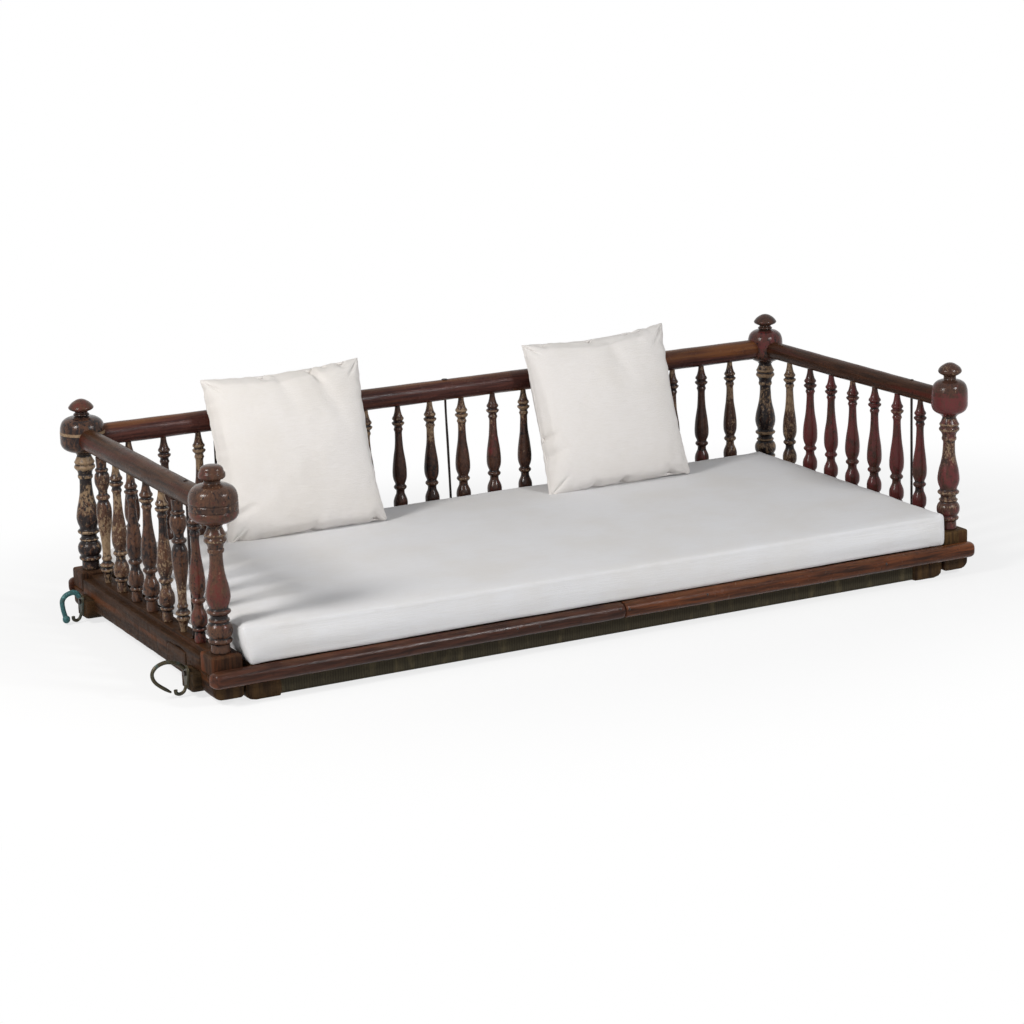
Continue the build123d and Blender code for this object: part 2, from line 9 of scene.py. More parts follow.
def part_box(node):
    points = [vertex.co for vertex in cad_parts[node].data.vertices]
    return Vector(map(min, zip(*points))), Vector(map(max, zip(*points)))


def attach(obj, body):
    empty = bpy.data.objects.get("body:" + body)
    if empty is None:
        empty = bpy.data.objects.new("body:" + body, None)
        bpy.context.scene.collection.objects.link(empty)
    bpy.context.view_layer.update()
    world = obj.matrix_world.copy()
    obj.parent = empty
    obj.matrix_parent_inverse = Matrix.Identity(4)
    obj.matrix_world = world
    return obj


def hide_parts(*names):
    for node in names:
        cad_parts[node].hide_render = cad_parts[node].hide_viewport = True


# A jhoola daybed dressed for looks: smooth turnings with rubbed paint, worn timbers, forged hooks with
# verdigris, a woven seat, a cotton mattress and two stuffed pillows. The lines of turnings and hooks, and
# the heights and radii used with MM, are in millimetres. Everything else is in metres.

MM = 0.001

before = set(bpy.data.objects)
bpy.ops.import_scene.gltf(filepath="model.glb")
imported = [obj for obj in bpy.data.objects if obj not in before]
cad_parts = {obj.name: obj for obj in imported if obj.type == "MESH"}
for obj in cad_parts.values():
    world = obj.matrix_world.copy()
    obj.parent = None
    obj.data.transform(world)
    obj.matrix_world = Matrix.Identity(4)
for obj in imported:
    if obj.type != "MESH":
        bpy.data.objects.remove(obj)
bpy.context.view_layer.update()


# Small helpers for colours and shader nodes


def paint(red, green, blue):
    """Linear colour from the red, green and blue of a swatch, 0 to 255."""
    linear = [((c / 255 + 0.055) / 1.055) ** 2.4 if c > 10 else c / 255 / 12.92 for c in (red, green, blue)]
    return (*linear, 1.0)


class Shading:
    """Adds and joins the nodes of one material or one shared effect."""

    def __init__(self, tree):
        self.tree = tree

    def feed(self, socket, value):
        """Joins another node's output to a socket, or sets the socket to a plain value."""
        if isinstance(value, bpy.types.NodeSocket):
            self.tree.links.new(value, socket)
        else:
            socket.default_value = value

    def node(self, kind, sockets=None, **settings):
        """New node with its settings, and its input sockets fed by name or number."""
        made = self.tree.nodes.new(kind)
        for name, value in settings.items():
            setattr(made, name, value)
        for name, value in (sockets or {}).items():
            self.feed(made.inputs[name], value)
        return made

    def maths(self, operation, first, second=0.0, clamp=False):
        """Result of one operation on two values."""
        made = self.node("ShaderNodeMath", {0: first, 1: second}, operation=operation, use_clamp=clamp)
        return made.outputs[0]

    def times(self, first, second, clamp=False):
        """Product of two values."""
        return self.maths("MULTIPLY", first, second, clamp)

    def plus(self, first, second, clamp=False):
        """Sum of two values."""
        return self.maths("ADD", first, second, clamp)

    def minus(self, first, second, clamp=False):
        """First value less the second."""
        return self.maths("SUBTRACT", first, second, clamp)

    def blend(self, share, low, high):
        """Colour between low and high."""
        made = self.node("ShaderNodeMix", data_type="RGBA")
        for name, value in (("Factor_Float", share), ("A_Color", low), ("B_Color", high)):
            self.feed(next(s for s in made.inputs if s.identifier == name), value)
        return next(s for s in made.outputs if s.identifier == "Result_Color")

    def between(self, value, low, high):
        """0 below low, 1 above high, and smooth between them."""
        made = self.node("ShaderNodeMapRange", {0: value, 1: low, 2: high}, interpolation_type="SMOOTHSTEP")
        return made.outputs[0]

    def stretched(self, place, scale):
        """Place with each direction scaled by its own share."""
        made = self.node("ShaderNodeVectorMath", {0: place, 1: scale}, operation="MULTIPLY")
        return made.outputs[0]

    def cloudy(self, place, scale, detail=3.0, roughness=0.55):
        """Uneven value around a half, in patches as fine as scale."""
        made = self.node(
            "ShaderNodeTexNoise", {"Vector": place, "Scale": scale, "Detail": detail, "Roughness": roughness}
        )
        return made.outputs["Fac"]

    def effect(self, group, sockets):
        """Outputs of a shared effect placed with its own values."""
        made = self.node("ShaderNodeGroup", node_tree=group)
        for name, value in sockets.items():
            self.feed(made.inputs[name], value)
        return made.outputs


def new_effect(name, inputs, outputs):
    """Empty shared effect with named inputs and outputs, ready for its nodes."""
    group = bpy.data.node_groups.new(name, "ShaderNodeTree")
    for socket_name, kind, default in inputs:
        socket = group.interface.new_socket(socket_name, in_out="INPUT", socket_type="NodeSocket" + kind)
        if default is not None:
            socket.default_value = default
    for socket_name, kind in outputs:
        group.interface.new_socket(socket_name, in_out="OUTPUT", socket_type="NodeSocket" + kind)
    shading = Shading(group)
    return group, shading, shading.node("NodeGroupInput").outputs, shading.node("NodeGroupOutput")


# Shared effects


def timber_grain():
    """Long streaks and pores along one direction of the timber."""
    group, shading, given, out = new_effect(
        "Timber grain",
        [("Place", "Vector", None), ("Run", "Vector", (1.0, 1.0, 1.0)), ("Size", "Float", 40.0)],
        [("Streaks", "Float"), ("Pores", "Float")],
    )
    place = shading.stretched(given["Place"], given["Run"])
    bend = shading.node("ShaderNodeTexNoise", {"Vector": place, "Scale": 6.0, "Detail": 2.0})
    pushed = shading.node(
        "ShaderNodeVectorMath", {0: bend.outputs["Color"], 1: (0.004, 0.004, 0.004)}, operation="MULTIPLY"
    )
    place = shading.node("ShaderNodeVectorMath", {0: place, 1: pushed.outputs[0]}, operation="ADD").outputs[0]
    streaks = shading.cloudy(place, given["Size"], 4.0, 0.62)
    pores = shading.cloudy(place, shading.times(given["Size"], 5.0), 2.0, 0.5)
    shading.feed(out.inputs["Streaks"], shading.between(streaks, 0.3, 0.7))
    shading.feed(out.inputs["Pores"], shading.between(pores, 0.35, 0.65))
    return group


def drying_cracks():
    """Thin dark cracks that run with the grain."""
    group, shading, given, out = new_effect(
        "Drying cracks",
        [
            ("Place", "Vector", None),
            ("Run", "Vector", (1.0, 1.0, 1.0)),
            ("Size", "Float", 14.0),
            ("Width", "Float", 0.02),
        ],
        [("Crack", "Float")],
    )
    place = shading.stretched(given["Place"], given["Run"])
    wander = shading.cloudy(place, given["Size"], 3.0, 0.6)
    off_middle = shading.maths("ABSOLUTE", shading.minus(wander, 0.5))
    line = shading.minus(1.0, shading.maths("DIVIDE", off_middle, given["Width"]), clamp=True)
    gaps = shading.cloudy(given["Place"], 9.0, 2.0)
    shading.feed(out.inputs["Crack"], shading.times(line, shading.between(gaps, 0.42, 0.6)))
    return group


def rubbed_edge():
    """Mask of edges that hands and cloth have rubbed pale."""
    group, shading, given, out = new_effect(
        "Rubbed edge",
        [("Place", "Vector", None), ("Reach", "Float", 0.004)],
        [("Rub", "Float")],
    )
    rounded = shading.node("ShaderNodeBevel", {"Radius": given["Reach"]}, samples=4)
    flat = shading.node("ShaderNodeNewGeometry").outputs["Normal"]
    facing = shading.node("ShaderNodeVectorMath", {0: rounded.outputs[0], 1: flat}, operation="DOT_PRODUCT")
    edge = shading.between(facing.outputs["Value"], 0.995, 0.9)
    broken = shading.between(shading.cloudy(given["Place"], 45.0, 4.0), 0.35, 0.62)
    shading.feed(out.inputs["Rub"], shading.times(edge, broken))
    return group


def hollow_grime():
    """Mask of hollows found by ambient occlusion, where painted shade darkens the finish along with old dirt.
    """
    group, shading, given, out = new_effect(
        "Painted shade and grime in hollows",
        [("Reach", "Float", 0.012), ("Strength", "Float", 1.0)],
        [("Shade and grime", "Float")],
    )
    # Painted shade: ambient occlusion marks the hollows where shade falls, and the same mask also stands for
    # dirt there.
    open_sky = shading.node(
        "ShaderNodeAmbientOcclusion", {"Distance": given["Reach"]}, samples=6, only_local=True
    )
    closed = shading.between(open_sky.outputs["AO"], 0.95, 0.35)
    shading.feed(out.inputs["Shade and grime"], shading.times(closed, given["Strength"], clamp=True))
    return group


def settled_dust():
    """Mask of faces that look up, where dust and daylight turn the finish pale."""
    group, shading, given, out = new_effect(
        "Settled dust", [("Place", "Vector", None), ("Patchy", "Float", 30.0)], [("Dust", "Float")]
    )
    normal = shading.node("ShaderNodeNewGeometry").outputs["Normal"]
    upward = shading.node("ShaderNodeSeparateXYZ", {0: normal}).outputs["Z"]
    broken = shading.between(shading.cloudy(given["Place"], given["Patchy"], 4.0), 0.3, 0.7)
    shading.feed(out.inputs["Dust"], shading.times(shading.between(upward, 0.55, 0.97), broken))
    return group


def plain_weave():
    """Height of a plain weave of crossing threads, seen along the axis that the face looks down."""
    group, shading, given, out = new_effect(
        "Plain weave",
        [("Place", "Vector", None), ("Thread", "Float", 0.0016)],
        [("Height", "Float"), ("Slub", "Float")],
    )
    parts = shading.node("ShaderNodeSeparateXYZ", {0: given["Place"]}).outputs
    turns = shading.maths("DIVIDE", pi, given["Thread"])
    leaning = shading.plus(parts["Y"], parts["Z"])
    warp = shading.maths("ABSOLUTE", shading.maths("SINE", shading.times(parts["X"], turns)))
    weft = shading.maths("ABSOLUTE", shading.maths("SINE", shading.times(leaning, turns)))
    shading.feed(out.inputs["Height"], shading.times(shading.plus(warp, weft), 0.5))
    slub = shading.cloudy(shading.stretched(given["Place"], (25.0, 420.0, 420.0)), 1.0, 3.0)
    shading.feed(out.inputs["Slub"], slub)
    return group


GRAIN = timber_grain()
CRACKS = drying_cracks()
EDGE_RUB = rubbed_edge()
HOLLOW_SHADE_AND_GRIME = hollow_grime()
DUST = settled_dust()
WEAVE = plain_weave()

ALONG_X = (0.06, 1.0, 1.0)
ALONG_Y = (1.0, 0.06, 1.0)
ALONG_Z = (1.0, 1.0, 0.12)


# Finishes

RIB_PITCH = 0.0065
VARNISHED = 0.55  # gloss above which a timber's pores are filled
POLISHED = 0.71  # gloss above which it mirrors the room a little

# The first two colours below darken the hollows: painted shade along with old dirt.
GROOVE_SHADE_AND_DIRT = paint(14, 10, 8)
TIMBER_SHADE_AND_DIRT = paint(16, 11, 8)
CRACK_DARK = paint(12, 8, 6)
SAWN_DARK = paint(44, 32, 24)
TAPE_HOLLOW = paint(54, 49, 39)
TAPE_RIB = paint(64, 59, 47)
TAPE_WORN = paint(84, 76, 58)
RUBBED_METAL = paint(112, 100, 76)


def new_finish(name):
    """Empty material with its main shader, and where its surface points are."""
    material = bpy.data.materials.new(name)
    material.use_nodes = True
    material.node_tree.nodes.clear()
    shading = Shading(material.node_tree)
    surface = shading.node("ShaderNodeBsdfPrincipled")
    ending = shading.node("ShaderNodeOutputMaterial")
    shading.feed(ending.inputs["Surface"], surface.outputs["BSDF"])
    place = shading.node("ShaderNodeTexCoord").outputs["Object"]
    return material, shading, surface, place


def raised(shading, surface, height, depth):
    """Bump from a height, as deep as depth in metres."""
    bump = shading.node("ShaderNodeBump", {"Height": height, "Distance": depth, "Strength": 1.0})
    shading.feed(surface.inputs["Normal"], bump.outputs["Normal"])


def turned_finish(name, coat, blush, bare, soot):
    """Old lacquer on turnings: coat and blush patches, rubbed to bare wood, with soot in the grooves and
    painted shade with dirt in the hollows.

    The mesh says how red, how bare and how black each ring is, in its Tone colours."""
    material, shading, surface, place = new_finish(name)
    tone = shading.node("ShaderNodeAttribute", attribute_name="Tone", attribute_type="GEOMETRY")
    parts = shading.node("ShaderNodeSeparateColor", {0: tone.outputs["Color"]}).outputs
    tall = shading.stretched(place, (1.0, 1.0, 0.6))
    patches = shading.cloudy(tall, 120.0, 5.0, 0.66)
    flecks = shading.cloudy(tall, 300.0, 5.0, 0.7)
    specks = shading.between(shading.cloudy(tall, 200.0, 5.0, 0.7), 0.38, 0.68)
    colour = shading.blend(shading.times(specks, 0.6), coat, soot)
    broad = shading.between(shading.cloudy(place, 30.0, 4.0, 0.6), 0.45, 0.65)
    colour = shading.blend(shading.times(broad, 0.5), colour, soot)
    reddish = shading.plus(shading.cloudy(tall, 60.0, 5.0, 0.66), parts["Red"])
    blushed = shading.blend(shading.times(specks, 0.5), blush, coat)
    colour = shading.blend(shading.between(reddish, 0.9, 1.14), colour, blushed)
    mottled = shading.plus(shading.times(flecks, 0.42), shading.times(patches, 0.58))
    bared = shading.between(shading.plus(mottled, parts["Green"]), 0.94, 1.05)
    colour = shading.blend(bared, colour, shading.blend(shading.times(specks, 0.6), bare, coat))
    black = shading.plus(shading.cloudy(tall, 130.0, 5.0, 0.7), parts["Blue"])
    colour = shading.blend(shading.between(black, 0.96, 1.06), colour, soot)
    # Painted shade with dirt: darker where ambient occlusion finds hollows.
    shade_and_grime = shading.effect(HOLLOW_SHADE_AND_GRIME, {"Reach": 0.009, "Strength": 0.9})["Shade and grime"]
    colour = shading.blend(shade_and_grime, colour, GROOVE_SHADE_AND_DIRT)
    shading.feed(surface.inputs["Base Color"], colour)
    dull = shading.plus(0.13, shading.times(bared, 0.22))
    shading.feed(surface.inputs["Roughness"], shading.plus(dull, shading.times(flecks, 0.14)))
    surface.inputs["Specular IOR Level"].default_value = 0.2
    raised(shading, surface, shading.plus(flecks, shading.times(bared, -0.6)), 0.00022)
    return material


def timber_finish(name, run, gloss, coat, streak, blush, pale, cracks=0.5, end_grain=None):
    """Stained timber: streaks along its run, red blushes, pale worn edges, dark drying cracks, and painted
    shade with dirt in its hollows.
    """
    material, shading, surface, place = new_finish(name)
    grain = shading.effect(GRAIN, {"Place": place, "Run": run, "Size": 150.0})
    colour = shading.blend(grain["Streaks"], coat, streak)
    patches = shading.cloudy(shading.stretched(place, run), 26.0, 5.0, 0.6)
    colour = shading.blend(shading.between(patches, 0.5, 0.66), colour, blush)
    dark = shading.between(shading.cloudy(place, 42.0, 5.0, 0.65), 0.58, 0.72)
    colour = shading.blend(shading.times(dark, 0.6), colour, streak)
    dust = shading.effect(DUST, {"Place": place, "Patchy": 14.0})["Dust"]
    rub = shading.effect(EDGE_RUB, {"Place": place, "Reach": 0.005})["Rub"]
    worn = shading.plus(shading.times(dust, 0.3), shading.times(rub, 0.5), clamp=True)
    colour = shading.blend(worn, colour, pale)
    crack_run = run
    if end_grain:
        normal = shading.node("ShaderNodeNewGeometry").outputs["Normal"]
        facing = shading.maths("ABSOLUTE", shading.node("ShaderNodeSeparateXYZ", {0: normal}).outputs["Y"])
        rings = shading.effect(GRAIN, {"Place": place, "Run": (1.0, 1.0, 0.1), "Size": 70.0})["Streaks"]
        sawn = shading.blend(rings, SAWN_DARK, end_grain)
        colour = shading.blend(shading.between(facing, 0.6, 0.85), colour, sawn)
        crack_run = (1.0, 1.0, 0.08)
    crack = shading.effect(CRACKS, {"Place": place, "Run": crack_run, "Size": 26.0, "Width": 0.012})["Crack"]
    crack = shading.times(crack, cracks)
    colour = shading.blend(crack, colour, CRACK_DARK)
    # Painted shade with dirt: darker where ambient occlusion finds hollows and joins.
    shade_and_grime = shading.effect(HOLLOW_SHADE_AND_GRIME, {"Reach": 0.02, "Strength": 0.8})["Shade and grime"]
    colour = shading.blend(shade_and_grime, colour, TIMBER_SHADE_AND_DIRT)
    shading.feed(surface.inputs["Base Color"], colour)
    broken = shading.cloudy(place, 60.0, 4.0, 0.6)
    roughness = shading.plus(1 - gloss, shading.times(shading.minus(broken, 0.5), 0.4))
    shading.feed(surface.inputs["Roughness"], roughness)
    surface.inputs["Specular IOR Level"].default_value = 0.13 if gloss > POLISHED else 0.05
    height = shading.minus(shading.times(grain["Pores"], 0.4), crack)
    raised(shading, surface, shading.plus(height, broken), 0.0002 if gloss > VARNISHED else 0.0007)
    return material


def woven_finish(name):
    """Dark green-grey tape wound round the rails, as fine ribs."""
    material, shading, surface, place = new_finish(name)
    across = shading.node("ShaderNodeSeparateXYZ", {0: place}).outputs["X"]
    wave = shading.maths("SINE", shading.times(across, 2 * pi / RIB_PITCH))
    rib = shading.plus(0.5, shading.times(wave, 0.5))
    colour = shading.blend(rib, TAPE_HOLLOW, TAPE_RIB)
    worn = shading.cloudy(shading.stretched(place, (1.0, 0.3, 0.3)), 35.0, 4.0)
    colour = shading.blend(shading.between(worn, 0.5, 0.75), colour, TAPE_WORN)
    shading.feed(surface.inputs["Base Color"], colour)
    surface.inputs["Specular IOR Level"].default_value = 0.1
    shading.feed(surface.inputs["Roughness"], shading.plus(0.75, shading.times(worn, 0.2)))
    raised(shading, surface, rib, 0.0003)
    return material


def forged_finish(name, iron, patina, bloom, amount):
    """Forged iron or bronze with a patina that gathers in patches, and a paler bloom on it."""
    material, shading, surface, place = new_finish(name)
    scale = shading.cloudy(place, 60.0, 5.0, 0.6)
    patches = shading.between(shading.plus(scale, amount), 0.72, 0.98)
    colour = shading.blend(patches, iron, patina)
    powder = shading.between(shading.cloudy(place, 160.0, 4.0, 0.6), 0.52, 0.72)
    colour = shading.blend(shading.times(powder, patches), colour, bloom)
    rub = shading.effect(EDGE_RUB, {"Place": place, "Reach": 0.0015})["Rub"]
    colour = shading.blend(shading.times(rub, 0.5), colour, RUBBED_METAL)
    shading.feed(surface.inputs["Base Color"], colour)
    shading.feed(surface.inputs["Metallic"], shading.times(shading.minus(1.0, patches), 0.7))
    shading.feed(surface.inputs["Roughness"], shading.plus(0.4, shading.times(patches, 0.3)))
    raised(shading, surface, shading.plus(scale, shading.times(powder, 0.3)), 0.0008)
    return material


def cotton_finish(name, cloth, shade, thread):
    """Plain-woven undyed cotton with slubs and slight soiling."""
    material, shading, surface, place = new_finish(name)
    weave = shading.effect(WEAVE, {"Place": place, "Thread": thread})
    soil = shading.between(shading.cloudy(place, 5.0, 4.0, 0.55), 0.35, 0.75)
    colour = shading.blend(shading.times(soil, 0.5), cloth, shade)
    slub = shading.between(weave["Slub"], 0.35, 0.7)
    colour = shading.blend(shading.times(slub, 0.22), colour, shade)
    shading.feed(surface.inputs["Base Color"], colour)
    surface.inputs["Specular IOR Level"].default_value = 0.2
    surface.inputs["Sheen Weight"].default_value = 0.15
    shading.feed(surface.inputs["Roughness"], shading.plus(0.88, shading.times(slub, 0.08)))
    raised(shading, surface, shading.plus(weave["Height"], shading.times(slub, 0.6)), 0.00035)
    return material


LACQUER = turned_finish(
    "Turned lacquer",
    coat=paint(74, 49, 38), blush=paint(92, 40, 41), bare=paint(134, 112, 88), soot=paint(31, 24, 25),
)
LEFT_LACQUER = turned_finish(
    "Turned lacquer, much rubbed",
    coat=paint(84, 57, 42), blush=paint(84, 38, 34), bare=paint(134, 113, 88), soot=paint(31, 25, 25),
)
BACK_RAIL_WOOD = timber_finish(
    "Back rail varnish", ALONG_X, 0.76,
    coat=paint(80, 46, 39), streak=paint(48, 27, 25), blush=paint(102, 62, 34), pale=paint(120, 80, 48),
)
LEFT_RAIL_WOOD = timber_finish(
    "Left rail varnish", ALONG_Y, 0.7,
    coat=paint(62, 38, 24), streak=paint(34, 21, 14), blush=paint(68, 29, 20), pale=paint(92, 64, 40),
)
RIGHT_RAIL_WOOD = timber_finish(
    "Right rail varnish", ALONG_Y, 0.7,
    coat=paint(68, 42, 28), streak=paint(38, 24, 17), blush=paint(74, 32, 24), pale=paint(90, 62, 40),
)
MOULDING_WOOD = timber_finish(
    "Moulding varnish", ALONG_X, 0.8,
    coat=paint(70, 41, 31), streak=paint(38, 23, 18), blush=paint(86, 48, 31), pale=paint(104, 70, 48),
)
RIGHT_MOULDING_WOOD = timber_finish(
    "Moulding varnish, worn", ALONG_X, 0.78,
    coat=paint(92, 50, 28), streak=paint(44, 25, 17), blush=paint(112, 62, 32), pale=paint(122, 78, 46),
)
BEAM_WOOD = timber_finish(
    "End beam wood", ALONG_Y, 0.5,
    coat=paint(55, 35, 21), streak=paint(32, 20, 13), blush=paint(76, 43, 22), pale=paint(76, 52, 32),
    cracks=0.9, end_grain=paint(70, 52, 33),
)
RAIL_BLOCK_WOOD = timber_finish(
    "Long rail wood", ALONG_X, 0.4,
    coat=paint(76, 57, 37), streak=paint(48, 35, 23), blush=paint(68, 45, 28), pale=paint(100, 78, 52),
    cracks=0.9, end_grain=paint(80, 60, 38),
)
BEARER_WOOD = timber_finish(
    "Bearer wood", ALONG_X, 0.38,
    coat=paint(56, 43, 28), streak=paint(34, 26, 18), blush=paint(62, 42, 26), pale=paint(84, 64, 42),
    cracks=0.9,
)
SILL_WOOD = timber_finish(
    "Sill wood", ALONG_X, 0.42,
    coat=paint(52, 37, 26), streak=paint(34, 24, 18), blush=paint(64, 38, 26), pale=paint(86, 64, 44),
)
PLINTH_WOOD = timber_finish(
    "Plinth wood", ALONG_Z, 0.46,
    coat=paint(64, 42, 29), streak=paint(38, 25, 19), blush=paint(88, 50, 32), pale=paint(100, 72, 48),
    cracks=0.9,
)
PALE_PLINTH_WOOD = timber_finish(
    "Plinth wood, pale", ALONG_Z, 0.42,
    coat=paint(88, 66, 40), streak=paint(54, 39, 26), blush=paint(70, 45, 28), pale=paint(108, 84, 54),
    cracks=0.9,
)
SEAT_TAPE = woven_finish("Woven seat tape")
ROD_IRON = forged_finish("Rod iron", paint(44, 36, 34), paint(52, 36, 30), paint(84, 58, 44), 0.1)
OLIVE_BRONZE = forged_finish("Hook bronze", paint(62, 56, 40), paint(38, 44, 38), paint(66, 104, 98), 0.26)
DARK_BRONZE = forged_finish("Hook bronze, dark", paint(54, 50, 36), paint(34, 42, 36), paint(58, 92, 88), 0.3)
TEAL_BRONZE = forged_finish("Hook verdigris", paint(54, 60, 48), paint(34, 78, 80), paint(98, 150, 150), 0.5)
MATTRESS_COTTON = cotton_finish("Mattress cotton", paint(219, 219, 221), paint(209, 205, 200), 0.0017)
PILLOW_COTTON = cotton_finish("Pillow cotton", paint(229, 225, 222), paint(219, 213, 205), 0.0015)


# Meshes


def object_from(mesh, name, *finishes):
    """New object of the scene with its finishes."""
    piece = bpy.data.objects.new(name, mesh)
    bpy.context.scene.collection.objects.link(piece)
    for finish in finishes:
        mesh.materials.append(finish)
    return piece


def smooth_between(points, step):
    """Points of a turner's line, eased between the given ones without overshooting them."""
    slopes = []
    for here in range(len(points)):
        if here in (0, len(points) - 1):
            slopes.append(0.0)
            continue
        before = (points[here][1] - points[here - 1][1]) / (points[here][0] - points[here - 1][0])
        after = (points[here + 1][1] - points[here][1]) / (points[here + 1][0] - points[here][0])
        slopes.append(0.0 if before * after <= 0 else 2 * before * after / (before + after))
    line = []
    for here in range(len(points) - 1):
        low, high = points[here], points[here + 1]
        run = high[0] - low[0]
        pieces = max(2, int(run / step + 0.5))
        for count in range(pieces):
            share = count / pieces
            value = (
                (1 + 2 * share) * (1 - share) ** 2 * low[1]
                + share * (1 - share) ** 2 * run * slopes[here]
                + share**2 * (3 - 2 * share) * high[1]
                + share**2 * (share - 1) * run * slopes[here + 1]
            )
            line.append((low[0] + share * run, value))
    return line + [points[-1]]


def turn(shape, line, place, segments, tones=None, wobble=0.0, seed=0):
    """Adds a closed turning to a bmesh. Its line is (height, radius) in millimetres above place."""
    tone_layer = shape.loops.layers.float_color.get("Tone") or shape.loops.layers.float_color.new("Tone")
    rings = []
    for height, radius in line:
        ring = []
        for count in range(segments):
            angle = 2 * pi * count / segments
            uneven = noise.noise(Vector((cos(angle), sin(angle), height / 35 + seed * 7.3))) * wobble
            reach = (max(radius, 0.01) + uneven) * MM
            x = place[0] + reach * cos(angle)
            y = place[1] + reach * sin(angle)
            ring.append(shape.verts.new((x, y, place[2] + height * MM)))
        rings.append(ring)
    for level, (lower, upper) in enumerate(zip(rings, rings[1:])):
        for count in range(segments):
            after = (count + 1) % segments
            face = shape.faces.new((lower[count], lower[after], upper[after], upper[count]))
            face.smooth = True
            if tones:
                for loop, ring_level in zip(face.loops, (level, level, level + 1, level + 1)):
                    loop[tone_layer] = (*tones[ring_level], 1.0)
    for ring, flip in ((rings[0], True), (rings[-1], False)):
        face = shape.faces.new(tuple(reversed(ring)) if flip else tuple(ring))
        if tones:
            for loop in face.loops:
                loop[tone_layer] = (*tones[0 if flip else -1], 1.0)


def mesh_of(shape, name):
    """Mesh made from a bmesh, which is freed."""
    mesh = bpy.data.meshes.new(name)
    shape.to_mesh(mesh)
    shape.free()
    return mesh


def applied(piece):
    """The piece with its modifiers worked into its mesh."""
    graph = bpy.context.evaluated_depsgraph_get()
    mesh = bpy.data.meshes.new_from_object(piece.evaluated_get(graph), depsgraph=graph)
    piece.modifiers.clear()
    piece.data = mesh
    return piece


def push_out(mesh, distance_at):
    """Moves each point along its normal, as far as distance_at says for its place."""
    outward = [vertex.normal.copy() for vertex in mesh.vertices]
    places = [vertex.co.copy() for vertex in mesh.vertices]
    moved = []
    for place, normal in zip(places, outward):
        moved.extend(place + normal * distance_at(place))
    mesh.vertices.foreach_set("co", moved)
    mesh.update()


BEAM_GROOVES_ABOVE = 0.09


def worn_timber(node, finish, voxel, softening, dents, gouges=(), grooves=()):
    """Copy of a timber with softened edges and slight dents, which stands for its node.

    A gouge is (middle, reach, depth) in metres. A groove is (distance from the bench's middle, half
    width, depth) and runs along the top of an end beam."""
    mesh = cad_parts[node].data.copy()
    mesh.materials.clear()
    piece = object_from(mesh, "worn_" + node, finish)
    remesh = piece.modifiers.new("Skin", "REMESH")
    remesh.mode = "VOXEL"
    remesh.voxel_size = voxel
    smooth = piece.modifiers.new("Soften", "SMOOTH")
    smooth.factor = 0.5
    smooth.iterations = softening
    applied(piece)

    def dent(place):
        depth = noise.fractal(place * 28, 0.8, 2.0, 3) * 0.6 + noise.noise(place * 9) * 0.8
        moved = -dents * max(depth, -0.2)
        for middle, reach, deep in gouges:
            off = sum(((place[axis] - middle[axis]) / reach[axis]) ** 2 for axis in range(3))
            if off < 9:
                moved -= deep * exp(-off)
        for line, half_width, deep in grooves:
            off = (abs(place.x) - line + 0.0012 * noise.noise(Vector((0, place.y * 6, line)))) / half_width
            if place.z > BEAM_GROOVES_ABOVE and abs(off) < 3:
                moved -= deep * exp(-off * off)
        return moved

    push_out(piece.data, dent)
    for polygon in piece.data.polygons:
        polygon.use_smooth = True
    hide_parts(node)
    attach(piece, "frame")
    return piece


# Turned posts and balusters

PLINTH_TOP = 114.0
SILL_TOP = 106.0
RAIL_HEIGHT = 449.0
POST_X = 1.0
POST_Y = 0.426
RAIL_RADIUS = 28.0
RIGHT_RAIL_RADIUS = 24.25
PLINTH_HALF = 0.037
PLINTH_FOOT = 0.0665
PLINTH_EASING = 0.0075
BALL_RADII = {"front_left": 56.5, "back_left": 55.5, "back_right": 48.5, "front_right": 46.0}

SHAFT_LINE = [
    (113, 22.4), (119, 22.0), (128, 21.4), (135, 21.8), (137.5, 25.0), (141, 27.6), (144.5, 27.2),
    (147, 24.4), (149.5, 24.0), (154, 26.8), (161, 29.2), (168, 29.5), (175, 28.0), (181, 24.6),
    (184.5, 21.6), (186.5, 21.8), (188.5, 23.9), (191, 23.7), (193.5, 20.4), (198, 19.4), (203, 21.6),
    (206.5, 26.4), (210, 27.8), (213, 26.0), (216.5, 21.9), (221, 22.4), (231, 26.2), (244, 28.3),
    (266, 25.6), (286, 20.8), (305, 17.2), (318, 16.0), (338, 15.2), (343, 15.8), (347, 18.6), (352, 18.8),
    (355, 17.2), (363, 18.8), (368, 22.5), (373, 26.0), (377, 25.2), (380, 22.9), (383, 23.4), (386, 25.2),
    (391, 22.6), (399, 19.0), (404, 17.3), (408, 19.6), (412, 24.0),
]
BALL_LINE = [
    (415, 0.64), (420, 0.82), (427, 0.94), (437, 1.0), (455, 1.0), (472, 0.985), (484, 0.93), (492, 0.83),
    (498, 0.66), (501, 0.46),
]
